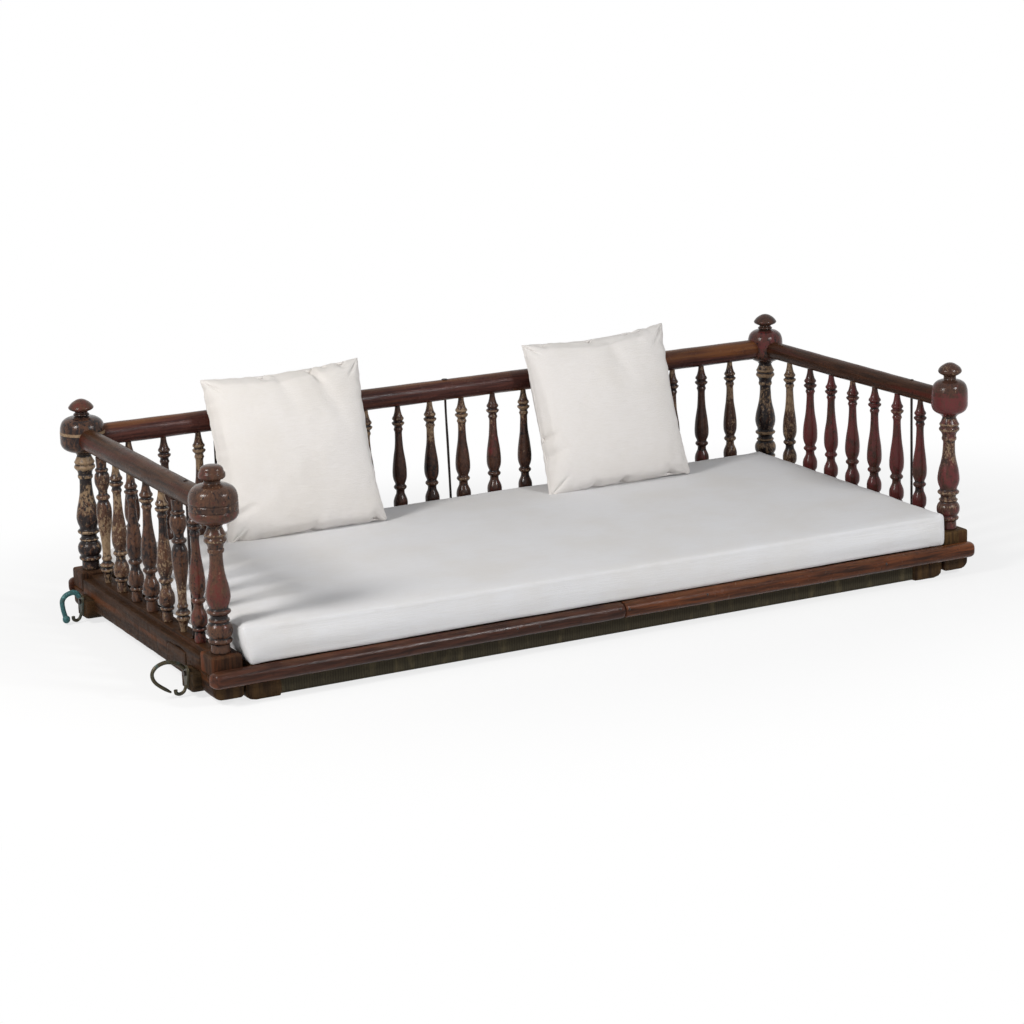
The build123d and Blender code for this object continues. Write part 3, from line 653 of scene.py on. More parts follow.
# Two grooves cut round the ball of the front left post: (height, depth below the ball).
BALL_GROOVES = [(435, -0.4), (441, -0.3), (443, -2.2), (445, -0.3), (457, -0.3), (459, -2.2), (461, -0.3)]
BALL_FLATS = (437, 455)
FINIAL_LINES = {
    "front_left": [
        (503, 19.0), (512, 19.5), (514, 27.0), (518, 30.6), (526, 30.4), (529, 27.5), (532, 26.6),
        (538, 24.6), (543, 17.0), (544.6, 6.0), (544.8, 0.0),
    ],
    "front_right": [
        (502, 15.8), (511, 15.6), (514, 21.0), (518, 27.0), (523, 29.7), (528, 28.4), (534, 24.0),
        (540, 15.5), (544, 7.0), (544.8, 0.0),
    ],
    "back": [
        (502, 15.4), (504, 19.0), (507, 19.8), (510, 16.2), (513, 15.6), (516, 22.0), (520, 29.5),
        (524, 31.2), (528, 29.0), (535, 23.0), (541, 14.0), (544, 7.0), (544.8, 0.0),
    ],
}
BALUSTER_FOOT_LINE = [
    (-0.5, 13.6), (8, 13.8), (17, 12.9), (24, 12.6), (27, 13.4), (29, 16.2), (32.5, 16.6), (35.5, 14.4),
    (38, 15.2), (43, 18.2), (50, 19.4), (58, 19.5), (66, 18.2), (75, 14.6), (83, 11.6), (89, 11.4),
    (92, 13.0), (95, 16.2), (98.5, 17.6), (102, 16.4), (105.5, 13.2), (108, 13.4), (112, 15.0),
    (118, 17.4), (128, 19.2), (138, 19.5), (158, 18.2), (174, 16.2), (191, 13.6),
]
BALUSTER_HEAD_LINE = [
    (111, 11.8), (80, 10.1), (72, 10.0), (66, 10.8), (62, 12.8), (59, 12.2), (55, 10.6), (51, 12.6),
    (47, 16.6), (43, 17.3), (40.5, 13.4), (37.5, 12.7), (34.5, 15.6), (31, 15.9), (26, 12.6), (13, 8.9),
    (3, 7.4), (-6, 7.2),
]


def through(points, pieces):
    """Points of a smooth line through the given ones, with as many pieces between each two."""
    line = []
    for here in range(len(points) - 1):
        before = Vector(points[max(here - 1, 0)])
        start = Vector(points[here])
        finish = Vector(points[here + 1])
        after = Vector(points[min(here + 2, len(points) - 1)])
        for count in range(pieces):
            t = count / pieces
            line.append(
                0.5
                * (
                    2 * start
                    + (finish - before) * t
                    + (2 * before - 5 * start + 4 * finish - after) * t**2
                    + (3 * start - before - 3 * finish + after) * t**3
                )
            )
    return line + [Vector(points[-1])]


def sweep(shape, line, radius_at, segments, wobble=0.0, seed=0):
    """Adds a round bar along a line to a bmesh. radius_at gives its radius for a share of its length."""
    across = None
    rings = []
    for here, place in enumerate(line):
        ahead = line[min(here + 1, len(line) - 1)] - line[max(here - 1, 0)]
        ahead.normalize()
        if across is None:
            across = ahead.orthogonal().normalized()
        across = (across - ahead * across.dot(ahead)).normalized()
        other = ahead.cross(across)
        share = here / (len(line) - 1)
        ring = []
        for count in range(segments):
            angle = 2 * pi * count / segments
            out = across * cos(angle) + other * sin(angle)
            uneven = noise.noise(out * 1.4 + place * 14 + Vector((seed, 0, 0))) * wobble
            ring.append(shape.verts.new(place + out * (radius_at(share) + uneven)))
        rings.append(ring)
    for lower, upper in zip(rings, rings[1:]):
        for count in range(segments):
            after = (count + 1) % segments
            shape.faces.new((lower[count], lower[after], upper[after], upper[count])).smooth = True
    shape.faces.new(tuple(reversed(rings[0])))
    shape.faces.new(tuple(rings[-1]))


def ring_tones(line, redness, bareness, blackness, random_source):
    """How red, bare and black each ring is.

    Bellies keep their paint, lips are rubbed bare and grooves hold soot."""
    widest = max(radius for _, radius in line)
    drift = random_source.uniform(0, 50)
    tones = []
    for level, (height, radius) in enumerate(line):
        beside = line[max(level - 2, 0)][1] + line[min(level + 2, len(line) - 1)][1]
        proud = radius - beside / 2
        lip = min(max((proud - 0.4) / 2.0, 0.0), 1.0)
        groove = min(max((-proud - 0.4) / 1.6, 0.0), 1.0)
        slim = max(0.0, 1 - radius / widest - 0.25)
        wave = noise.noise(Vector((height / 60, drift, 0)))
        bare = bareness + 0.42 * slim + 0.16 * wave + 0.2 * lip
        flush = noise.noise(Vector((height / 90, drift, 5)))
        red = redness + 0.18 * flush - 0.3 * slim - 0.16 * (lip + groove)
        tones.append((red, bare, blackness - 0.2 * wave - 0.2 * lip + 0.3 * groove))
    return tones


def eased_box(shape, low, high, easing):
    """Adds a box with eased edges to a bmesh."""
    made = bmesh.ops.create_cube(shape, size=1.0)["verts"]
    for vertex in made:
        for axis in range(3):
            vertex.co[axis] = high[axis] if vertex.co[axis] > 0 else low[axis]
    edges = {edge for vertex in made for edge in vertex.link_edges}
    bmesh.ops.bevel(shape, geom=list(edges), offset=easing, segments=3, affect="EDGES", profile=0.6)


def ball_peg(shape, place):
    """Short peg that stands out of a ball on the side of the mattress."""
    out = Vector((1.0, 0.12, 0.0)).normalized()
    root = Vector(place) + out * 0.053 + Vector((0, 0, 0.466))
    line = [root, root + out * 0.0045, root + out * 0.0075]
    sweep(shape, line, lambda share: 0.0052 - 0.0012 * share, 8)


def post_piece(corner, side_x, side_y, shaft_look, ball_looks, plinth_finish, seed):
    """Turned post with its ball, finial and square plinth.

    A look is how red, bare and black the turning is, and ball_looks gives one above each height."""
    widest = BALL_RADII[corner]
    ball = [(height, share * widest) for height, share in BALL_LINE]
    if corner == "front_left":
        ball = [point for point in ball if point[0] not in BALL_FLATS]
        ball += [(height, widest + cut) for height, cut in BALL_GROOVES]
        ball.sort()
    finial = FINIAL_LINES.get(corner, FINIAL_LINES["back"])
    line = smooth_between(SHAFT_LINE + ball + finial, 2.6)
    chance = random.Random(seed)
    shape = bmesh.new()
    tones = ring_tones([(height, min(radius, 32)) for height, radius in line], *shaft_look, chance)
    for level, (height, _) in enumerate(line):
        for above, look in ball_looks:
            if height > above:
                tones[level] = look
    place = (side_x * POST_X, side_y * POST_Y, 0.0)
    turn(shape, line, place, 56, tones, 0.5, seed)
    if corner == "front_left":
        ball_peg(shape, place)
    turned_faces = len(shape.faces)
    low = (place[0] - PLINTH_HALF, place[1] - PLINTH_HALF, PLINTH_FOOT)
    high = (place[0] + PLINTH_HALF, place[1] + PLINTH_HALF, PLINTH_TOP * MM)
    eased_box(shape, low, high, PLINTH_EASING)
    shape.faces.ensure_lookup_table()
    for face in shape.faces[turned_faces:]:
        face.material_index = 1
    lacquer = LEFT_LACQUER if side_x < 0 else LACQUER
    piece = object_from(mesh_of(shape, "post_" + corner), "turned_post_" + corner, lacquer, plinth_finish)
    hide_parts("post_" + corner)
    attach(piece, "frame")


def baluster_row(node, places, rail_radius, looks, upside_down, finish):
    """A row of turned balusters, each a little different from the next."""
    height = RAIL_HEIGHT - rail_radius - SILL_TOP
    points = BALUSTER_FOOT_LINE + [(height - down, radius) for down, radius in BALUSTER_HEAD_LINE]
    shape = bmesh.new()
    for count, (x, y) in enumerate(places):
        redness, bareness, blackness = looks[count % len(looks)]
        chance = random.Random(node + str(count))
        girth = chance.uniform(0.96, 1.03)
        stretch = chance.uniform(-3.0, 3.0)
        line = []
        for level, radius in points:
            middle = 1 - abs(2 * level / height - 1)
            line.append((level + stretch * max(0.0, middle), radius * girth))
        if count in upside_down:
            line = [(height - level, radius) for level, radius in reversed(line)]
        line = smooth_between(line, 3.2)
        tones = ring_tones(line, redness, bareness, blackness, chance)
        turn(shape, line, (x, y, SILL_TOP * MM), 30, tones, 0.45, count + len(node))
    piece = object_from(mesh_of(shape, node), "turned_" + node, finish)
    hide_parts(node)
    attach(piece, "frame")


post_piece(
    "front_left", -1, -1, (0.46, 0.27, 0.36),
    [(413, (0.48, 0.3, 0.34)), (443, (0.34, 0.36, 0.46)), (461, (0.4, 0.34, 0.4)), (474, (0.24, 0.38, 0.42)),
     (501, (0.42, 0.36, 0.3))],
    PLINTH_WOOD, 1,
)
post_piece(
    "back_left", -1, 1, (0.2, 0.45, 0.52),
    [(413, (0.3, 0.3, 0.5)), (455, (0.1, 0.1, 0.68)), (459, (0.0, 0.72, 0.0)), (466, (0.2, 0.3, 0.5)),
     (511, (0.5, 0.26, 0.36))],
    PLINTH_WOOD, 2,
)
post_piece(
    "back_right", 1, 1, (0.24, 0.48, 0.52),
    [(413, (0.42, 0.34, 0.46)), (455, (0.52, 0.16, 0.42)), (501, (0.36, 0.36, 0.34))],
    PALE_PLINTH_WOOD, 3,
)
post_piece(
    "front_right", 1, -1, (0.5, 0.36, 0.3),
    [(413, (0.66, 0.12, 0.28)), (462, (0.5, 0.26, 0.32)), (474, (0.38, 0.36, 0.3)),
     (501, (0.34, 0.42, 0.24))],
    PALE_PLINTH_WOOD, 4,
)

BACK_FIRST_X = 0.883
END_FIRST_Y = 0.3025
BACK_COUNT = 20
END_COUNT = 7

back_places = [(BACK_FIRST_X * (2 * count / (BACK_COUNT - 1) - 1), POST_Y) for count in range(BACK_COUNT)]
end_rows = [END_FIRST_Y * (1 - 2 * count / (END_COUNT - 1)) for count in range(END_COUNT)]
baluster_row(
    "balusters_back",
    back_places,
    RAIL_RADIUS,
    [
        (0.24, 0.34, 0.42), (0.3, 0.3, 0.38), (0.28, 0.36, 0.4), (0.3, 0.36, 0.36), (0.42, 0.26, 0.36),
        (0.26, 0.36, 0.42), (0.34, 0.3, 0.38),
    ],
    (),
    LACQUER,
)
baluster_row(
    "balusters_left",
    [(-POST_X, y) for y in end_rows],
    RAIL_RADIUS,
    [
        (0.1, 0.42, 0.46), (0.16, 0.42, 0.42), (0.24, 0.3, 0.46), (0.3, 0.3, 0.42), (0.16, 0.42, 0.42),
        (0.2, 0.36, 0.42), (0.52, 0.24, 0.42),
    ],
    (0, 5),
    LEFT_LACQUER,
)
baluster_row(
    "balusters_right",
    [(POST_X, y) for y in end_rows],
    RIGHT_RAIL_RADIUS,
    [
        (0.26, 0.46, 0.4), (0.62, 0.2, 0.26), (0.6, 0.22, 0.26), (0.58, 0.24, 0.26), (0.6, 0.2, 0.26),
        (0.62, 0.22, 0.26), (0.56, 0.18, 0.34),
    ],
    (),
    LACQUER,
)


# Rails, rods and hooks, swept along their lines


RAIL_STATION = 0.02
RAIL_SHAVING = 0.0006


def top_rail(node, start, end, radius, finish, seed):
    """Round rail, a little uneven from hand planing."""
    low, high = Vector(start), Vector(end)
    stations = int((high - low).length / RAIL_STATION)
    line = [low.lerp(high, count / stations) for count in range(stations + 1)]
    shape = bmesh.new()
    sweep(shape, line, lambda share: radius * MM - RAIL_SHAVING, 56, 0.0009, seed)
    piece = object_from(mesh_of(shape, node), "planed_" + node, finish)
    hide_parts(node)
    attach(piece, "frame")


RAIL_Z = RAIL_HEIGHT * MM
top_rail("top_rail_back", (-0.965, POST_Y, RAIL_Z), (0.968, POST_Y, RAIL_Z), RAIL_RADIUS, BACK_RAIL_WOOD, 1)
top_rail("top_rail_left", (-POST_X, -0.39, RAIL_Z), (-POST_X, 0.39, RAIL_Z), RAIL_RADIUS, LEFT_RAIL_WOOD, 2)
top_rail(
    "top_rail_right", (POST_X, -0.395, RAIL_Z), (POST_X, 0.395, RAIL_Z), RIGHT_RAIL_RADIUS, RIGHT_RAIL_WOOD, 3
)

ROD_RADIUS = 0.0032
ROD_DEPTH_IN_SILL = 0.004
BACK_ROD_X = 0.653
END_ROD_Y = -0.264
ROD_HEAD = [(-1.5, 0.95), (-0.2, 1.0), (0.8, 0.85), (1.4, 0.5), (1.6, 0.0)]


def tie_rod(node, x, y, rail_radius, bend, head=5.4):
    """Iron rod from its hammered head on the rail down into the sill."""
    top = RAIL_Z + rail_radius * MM
    stations = [(0.0, top), (0.1, top - 0.09), (0.5, top - 0.2), (1.0, SILL_TOP * MM - ROD_DEPTH_IN_SILL)]
    points = [(x + share * bend, y, height) for share, height in stations]
    shape = bmesh.new()
    sweep(shape, through(points, 8), lambda share: ROD_RADIUS, 14, 0.0005, x * 10)
    turn(shape, [(level, share * head) for level, share in ROD_HEAD], (x, y, top), 20)
    piece = object_from(mesh_of(shape, node), "forged_" + node, ROD_IRON)
    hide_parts(node)
    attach(piece, "frame")


tie_rod("tie_rod_back_left", -BACK_ROD_X, POST_Y, RAIL_RADIUS, 0.0)
tie_rod("tie_rod_back_middle", 0.0, POST_Y, RAIL_RADIUS, 0.009, head=8.4)
tie_rod("tie_rod_back_right", BACK_ROD_X, POST_Y, RAIL_RADIUS, 0.0)
tie_rod("tie_rod_left", -POST_X, END_ROD_Y, RAIL_RADIUS, 0.0)
tie_rod("tie_rod_right", POST_X, END_ROD_Y, RIGHT_RAIL_RADIUS, 0.004)

BEARER_END = 1.055
HOOK_Y = 0.35
LONG_ARM = [(6.0, 66.0), (22.0, 80.0), (48.0, 87.0), (72.0, 80.0), (83.0, 63.0), (74.0, 41.0), (40.0, 15.0)]
SHORT_ARM = [(6.6, 66.0), (13.0, 76.0), (25.0, 80.0), (42.0, 74.0), (51.0, 60.0), (49.0, 36.0), (43.0, 14.0)]
LONG_CURL = [(3.6, 25.0), (8.5, 13.0), (19.0, 7.6), (28.0, 11.0), (29.0, 19.0)]
SHORT_CURL = [(3.6, 25.0), (8.0, 13.0), (16.0, 7.6), (24.0, 11.0), (25.0, 19.0)]
LONG_HOOK = (LONG_ARM, (4.9, 4.2), LONG_CURL)
SHORT_HOOK = (SHORT_ARM, (6.6, 5.8), SHORT_CURL)
KNOB_LINE = [(-9.3, 3.6), (-7, 6.8), (-3, 9.0), (2, 9.3), (6, 8.0), (8.3, 5.2)]
POINT_SHARE = 0.93  # of the arm's length, where its point begins
LEAF_BACK = 0.0004
LEAF_FRONT = 0.0046
LEAF_MIDDLE = 46
LEAF_BEVEL = (0.93, 0.965)  # width and height of the front against the back
LEAF_OUTLINE = [
    (0, 72.6), (-6, 72.0), (-12, 69.0), (-16, 63.5), (-16.6, 58), (-13, 44), (-9, 30), (-6.4, 22),
    (-4.0, 19.5), (4.0, 19.5), (6.4, 22), (9, 30), (13, 44), (16.6, 58), (16, 63.5), (12, 69.0), (6, 72.0),
]


def hook_piece(node, side, end_y, knobbed):
    """Forged hook: a leaf on its spike, an arm that hooks over and a curled tail."""
    arm, (start, end), curl = SHORT_HOOK if knobbed else LONG_HOOK
    arm_finish, tail_finish = (TEAL_BRONZE, DARK_BRONZE) if knobbed else (OLIVE_BRONZE, OLIVE_BRONZE)

    def spot(out, height):
        return Vector((side * (BEARER_END + out * MM), end_y, height * MM))

    def arm_radius(share):
        drawn = 0 if share < POINT_SHARE or knobbed else 2.0 * (share - POINT_SHARE) / 0.07
        return (start + (end - start) * share - drawn) * MM

    def curl_radius(share):
        return (3.6 + 1.0 * share) * MM

    shape = bmesh.new()
    sweep(shape, through([spot(*point) for point in arm], 7), arm_radius, 20, 0.0005, end_y * 30)
    if knobbed:
        turn(shape, smooth_between(KNOB_LINE, 1.2), spot(*arm[-1]), 24, None, 0.5, 3)
    arm_faces = len(shape.faces)
    sweep(shape, through([spot(*point) for point in curl], 6), curl_radius, 16, 0.0004, end_y * 50)
    inner = side * (BEARER_END + LEAF_BACK)
    outer = side * (BEARER_END + LEAF_FRONT)
    slim, short = LEAF_BEVEL
    front_outline = [(y * slim, LEAF_MIDDLE + (z - LEAF_MIDDLE) * short) for y, z in LEAF_OUTLINE]
    back = [shape.verts.new((inner, end_y + y * MM, z * MM)) for y, z in LEAF_OUTLINE]
    face = [shape.verts.new((outer, end_y + y * MM, z * MM)) for y, z in front_outline]
    count = len(LEAF_OUTLINE)
    for here in range(count):
        after = (here + 1) % count
        shape.faces.new((back[here], back[after], face[after], face[here]))
    shape.faces.new(face)
    shape.faces.new(list(reversed(back)))
    bmesh.ops.recalc_face_normals(shape, faces=shape.faces)
    shape.faces.ensure_lookup_table()
    for made in shape.faces[arm_faces:]:
        made.material_index = 1
    piece = object_from(mesh_of(shape, node), "forged_" + node, arm_finish, tail_finish)
    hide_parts(node)
    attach(piece, node)


hook_piece("hook_front_left", -1, -HOOK_Y, False)
hook_piece("hook_back_left", -1, HOOK_Y, True)
hook_piece("hook_front_right", 1, -HOOK_Y, True)
hook_piece("hook_back_right", 1, HOOK_Y, False)


# Under-frame timbers

BLOCK_MIDDLE_X = 0.905
BLOCK_SWELL = 0.0075
BLOCK_REACH = 0.04
BLOCK_TOP = 0.07
STRIP_GROOVES = [(0.9815, 0.0016, 0.0026), (1.0185, 0.0016, 0.0026), (1.0265, 0.0013, 0.0013)]
LEFT_BEAM_GOUGES = [
    ((-1.037, -0.262, 0.0865), (0.008, 0.017, 0.0024), 0.007),
    ((-1.037, -0.421, 0.0600), (0.006, 0.0034, 0.0034), 0.008),
    ((-1.037, -0.330, 0.0720), (0.006, 0.0022, 0.0022), 0.004),
]



def long_rail(node):
    """Long rail whose end blocks reach a little further out than their solid."""
    rail = worn_timber(node, RAIL_BLOCK_WOOD, 0.005, 4, 0.0014)
    for vertex in rail.data.vertices:
        if abs(vertex.co.x) > BLOCK_MIDDLE_X and vertex.co.z < BLOCK_TOP:
            stretch = (abs(vertex.co.x) - BLOCK_MIDDLE_X) / BLOCK_REACH
            vertex.co.x += min(stretch, 1.0) * BLOCK_SWELL * (1 if vertex.co.x > 0 else -1)


worn_timber("end_beam_left", BEAM_WOOD, 0.0031, 6, 0.0008, LEFT_BEAM_GOUGES, STRIP_GROOVES)
worn_timber("end_beam_right", BEAM_WOOD, 0.0031, 6, 0.0008, (), STRIP_GROOVES)
long_rail("long_rail_front")
long_rail("long_rail_back")
worn_timber("bearer_front", BEARER_WOOD, 0.005, 4, 0.001)
worn_timber("bearer_back", BEARER_WOOD, 0.005, 4, 0.001)
worn_timber("back_sill", SILL_WOOD, 0.004, 3, 0.0005)

MOULDING_END = 1.047
MOULDING_ROUND = 0.020
MOULDING_FLAT_Y = 0.463
MOULDING_SLIMMING = 0.45
NOSE_Y = -0.475
NOSE_HEIGHT = 64.0
NOSE_RADIUS = 20.0


def moulding(node, finish, voxel, dents):
    """Half round moulding whose outer ends are worn to a blunt nose."""
    piece = worn_timber(node, finish, voxel, 9, dents)
    foot = MOULDING_FLAT_Y if node == "moulding_back" else -MOULDING_FLAT_Y
    middle = NOSE_HEIGHT * MM
    for vertex in piece.data.vertices:
        past = (abs(vertex.co.x) - MOULDING_END + MOULDING_ROUND) / MOULDING_ROUND
        if past > 0:
            slim = 1 - MOULDING_SLIMMING * min(past, 1.0) ** 2.5
            vertex.co.y = foot + (vertex.co.y - foot) * slim
            vertex.co.z = middle + (vertex.co.z - middle) * slim


moulding("moulding_front_left", MOULDING_WOOD, 0.0035, 0.0005)
moulding("moulding_front_right", RIGHT_MOULDING_WOOD, 0.0035, 0.0007)
moulding("moulding_back", MOULDING_WOOD, 0.005, 0.0006)
worn_timber("beam_patch", BEAM_WOOD, 0.003, 2, 0.0004)

# Each nail is (place along the bench in metres, height in millimetres).
MOULDING_NAILS = [(-0.285, 70), (-0.226, 66), (-0.007, 73), (0.018, 70), (0.236, 72), (0.762, 70)]
NAIL_HEAD = [(0.0, 3.4), (0.9, 3.2), (1.5, 2.0), (1.7, 0.0)]
NAIL_SUNK = 1.2


def moulding_nails():
    """Hammered nail heads along the front moulding."""
    shape = bmesh.new()
    for count, (x, height) in enumerate(MOULDING_NAILS):
        rise = (height - NOSE_HEIGHT) / NOSE_RADIUS
        out = Vector((0.0, -((1 - rise * rise) ** 0.5), rise))
        facing = out.to_track_quat("Z", "Y").to_matrix().to_4x4()
        nail = bmesh.new()
        turn(nail, NAIL_HEAD, (0, 0, 0), 14, None, 0.35, count)
        seat = Vector((x, NOSE_Y, NOSE_HEIGHT * MM)) + out * (NOSE_RADIUS - NAIL_SUNK) * MM
        nail.transform(Matrix.Translation(seat) @ facing)
        mesh = mesh_of(nail, "nail")
        shape.from_mesh(mesh)
        bpy.data.meshes.remove(mesh)
    nails = object_from(mesh_of(shape, "moulding_nails"), "moulding_nails", ROD_IRON)
    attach(nails, "frame")


moulding_nails()

for node, finish in (("woven_seat", SEAT_TAPE), ("hook_pins", ROD_IRON)):
    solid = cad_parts[node]
    solid.data.materials.clear()
    solid.data.materials.append(finish)


# Mattress and pillows


COVER_STIFFNESS = 40.0


def inflate(piece, pressure, frames, limit):
    """Fills a sewn cover with the cloth solver, and keeps each point within limit of its start."""
    start = [vertex.co.copy() for vertex in piece.data.vertices]
    cloth = piece.modifiers.new("Stuffing", "CLOTH")
    settings = cloth.settings
    settings.quality = 5
    settings.mass = 0.3
    settings.tension_stiffness = COVER_STIFFNESS
    settings.compression_stiffness = COVER_STIFFNESS
    settings.shear_stiffness = 5.0
    settings.bending_stiffness = 0.5
    settings.use_pressure = True
    settings.uniform_pressure_force = pressure
    settings.effector_weights.gravity = 0.0
    cloth.collision_settings.use_self_collision = False
    scene = bpy.context.scene
    for step in range(1, frames + 1):
        scene.frame_set(step)
    applied(piece)
    scene.frame_set(1)
    for vertex, origin in zip(piece.data.vertices, start):
        move = vertex.co - origin
        if move.length > limit:
            vertex.co = origin + move * (limit / move.length)


def finely(piece):
    """Rounds a quad mesh once and shades it smooth."""
    fine = piece.modifiers.new("Fine", "SUBSURF")
    fine.levels = fine.render_levels = 1
    applied(piece)
    for polygon in piece.data.polygons:
        polygon.use_smooth = True


PILLOW_WIDTH = 0.440
PILLOW_HALF = 0.060
PILLOW_LEAN = 16.5
PILLOW_CELLS = 52
PILLOW_CORNER = 0.011
PILLOW_SEAM = 0.0011  # least half thickness, beside the seam
PILLOW_CROWN = 0.43  # power of the crown: lower is fuller toward the sides
PILLOW_SINK = 0.011  # into the mattress, below its solid
PILLOW_REST = 0.004  # where the sunk part is flattened, below its solid
PILLOW_BEHIND = 0.004  # past its solid's back, where it is flattened
FLANGE = 0.0035
# Each pillow is turned about the upright and tilted in its own plane, in degrees. Its top edge is rolled
# forward by the distance given, and its left edge by less. Sides are drawn in at the top, bottom, left and
# right, as shares of the height and width. A crease is (start, end, half width, depth): its ends are places
# on the front from -1 to 1, the rest is in metres.
PILLOWS = {
    "pillow_left": {
        "x": -0.487, "turn": -3.0, "tilt": 1.8, "height": 0.434, "seed": 3, "rolled": 0.003,
        "drawn_in": (0.026, 0.004, 0.018, 0.026),
        "creases": [
            ((0.27, 1.0), (0.45, 0.70), 0.034, 0.013), ((-0.34, 1.0), (-0.19, 0.84), 0.034, 0.011),
            ((0.56, 1.0), (0.50, 0.90), 0.04, 0.008), ((0.74, 1.0), (0.70, 0.86), 0.05, 0.007),
            ((-1.0, -0.72), (-0.62, -0.55), 0.045, 0.007), ((-0.9, -1.0), (-0.72, -0.8), 0.035, 0.008),
            ((0.02, -1.0), (0.10, -0.78), 0.05, 0.005), ((0.84, -1.0), (0.76, -0.86), 0.05, 0.006),
            ((0.40, 0.72), (0.62, 0.1), 0.09, 0.003), ((-0.1, 0.86), (0.05, 0.3), 0.08, 0.0025),
        ],
    },
    "pillow_right": {
        "x": 0.420, "turn": -2.0, "tilt": 2.1, "height": 0.424, "seed": 8, "rolled": 0.012,
        "drawn_in": (0.034, 0.006, 0.014, 0.026),
        "creases": [
            ((-0.80, 1.0), (-0.66, 0.88), 0.04, 0.009), ((-0.16, 1.0), (-0.06, 0.84), 0.04, 0.010),
            ((0.36, 1.0), (0.46, 0.86), 0.04, 0.008), ((0.66, 1.0), (0.52, 0.84), 0.05, 0.007),
            ((-1.0, -0.26), (-0.76, -0.2), 0.03, 0.009), ((-1.0, -0.5), (-0.7, -0.4), 0.05, 0.005),
            ((0.0, -1.0), (0.04, -0.86), 0.035, 0.009), ((0.7, -1.0), (0.62, -0.8), 0.05, 0.006),
            ((-0.4, -1.0), (-0.34, -0.84), 0.06, 0.004), ((0.1, 0.8), (0.3, 0.3), 0.1, 0.0025),
        ],
    },
}


def crowned_cover(name, facts):
    """Closed square cover, fullest in the middle and drawn in between its four corners."""
    top, bottom, left, right = facts["drawn_in"]
    half_wide, half_tall = PILLOW_WIDTH / 2, facts["height"] / 2
    inner = [sin(pi / 2 * (2 * count / PILLOW_CELLS - 1)) for count in range(PILLOW_CELLS + 1)]
    marks = [-1.0] + inner + [1.0]
    last = len(marks) - 1
    shape = bmesh.new()
    seam = {}
    for face_side in (-1, 1):
        grid = {}
        for row, v in enumerate(marks):
            for column, u in enumerate(marks):
                on_seam = row in (0, last) or column in (0, last)
                if on_seam and (row, column) in seam:
                    grid[row, column] = seam[row, column]
                    continue
                draw_x = (left if u < 0 else right) * (1 - v * v)
                draw_z = (bottom if v < 0 else top) * (1 - u * u)
                x = u * half_wide * (1 - 2 * draw_x) + FLANGE * ((column == last) - (column == 0))
                z = v * half_tall * (1 - 2 * draw_z) + FLANGE * ((row == last) - (row == 0))
                past = Vector((abs(x) - half_wide + PILLOW_CORNER, abs(z) - half_tall + PILLOW_CORNER))
                if min(past) > 0:
                    past *= 1 - max(past) / past.length
                    x -= past.x * (1 if x > 0 else -1)
                    z -= past.y * (1 if z > 0 else -1)
                full = max(0.0, (1 - u * u) * (1 - v * v)) ** PILLOW_CROWN
                depth = 0.0 if on_seam else face_side * max(PILLOW_SEAM, PILLOW_HALF * full)
                edge = max(abs(u), abs(v)) ** 8
                roll = facts["rolled"] * edge * (1.0 if v > abs(u) else 0.6 if u < -abs(v) else 0.0)
                grid[row, column] = shape.verts.new((x, depth - roll * (1 - (u * v) ** 4), z))
                if on_seam:
                    seam[row, column] = grid[row, column]
        for row in range(last):
            for column in range(last):
                around = ((row, column), (row, column + 1), (row + 1, column + 1), (row + 1, column))
                corners = [grid[key] for key in around]
                shape.faces.new(corners if face_side < 0 else corners[::-1])
    return object_from(mesh_of(shape, name), name, PILLOW_COTTON)


def crease_depth(u, v, creases):
    """How far the cover is drawn in at a place on its front."""
    total = 0.0
    for start, end, half_width, depth in creases:
        line = (end[0] - start[0], end[1] - start[1])
        along = ((u - start[0]) * line[0] + (v - start[1]) * line[1]) / (line[0] ** 2 + line[1] ** 2)
        along = min(max(along, 0.0), 1.0)
        off = ((u - start[0] - along * line[0]) ** 2 + (v - start[1] - along * line[1]) ** 2) ** 0.5
        total += 1.4 * depth * (1 - along * along) * exp(-((off / half_width) ** 2))
    return total


def pucker(u, v, seed):
    """Small folds that run in from the seam and fade toward the middle."""
    total = 0.0
    for along, across in ((u, v), (v, u)):
        near = max(0.0, (abs(across) - 0.72) / 0.28)
        fade = near * max(0.0, 1 - abs(across) ** 30)
        total += fade * noise.noise(Vector((along * 9.0, seed, round(across))))
    return total


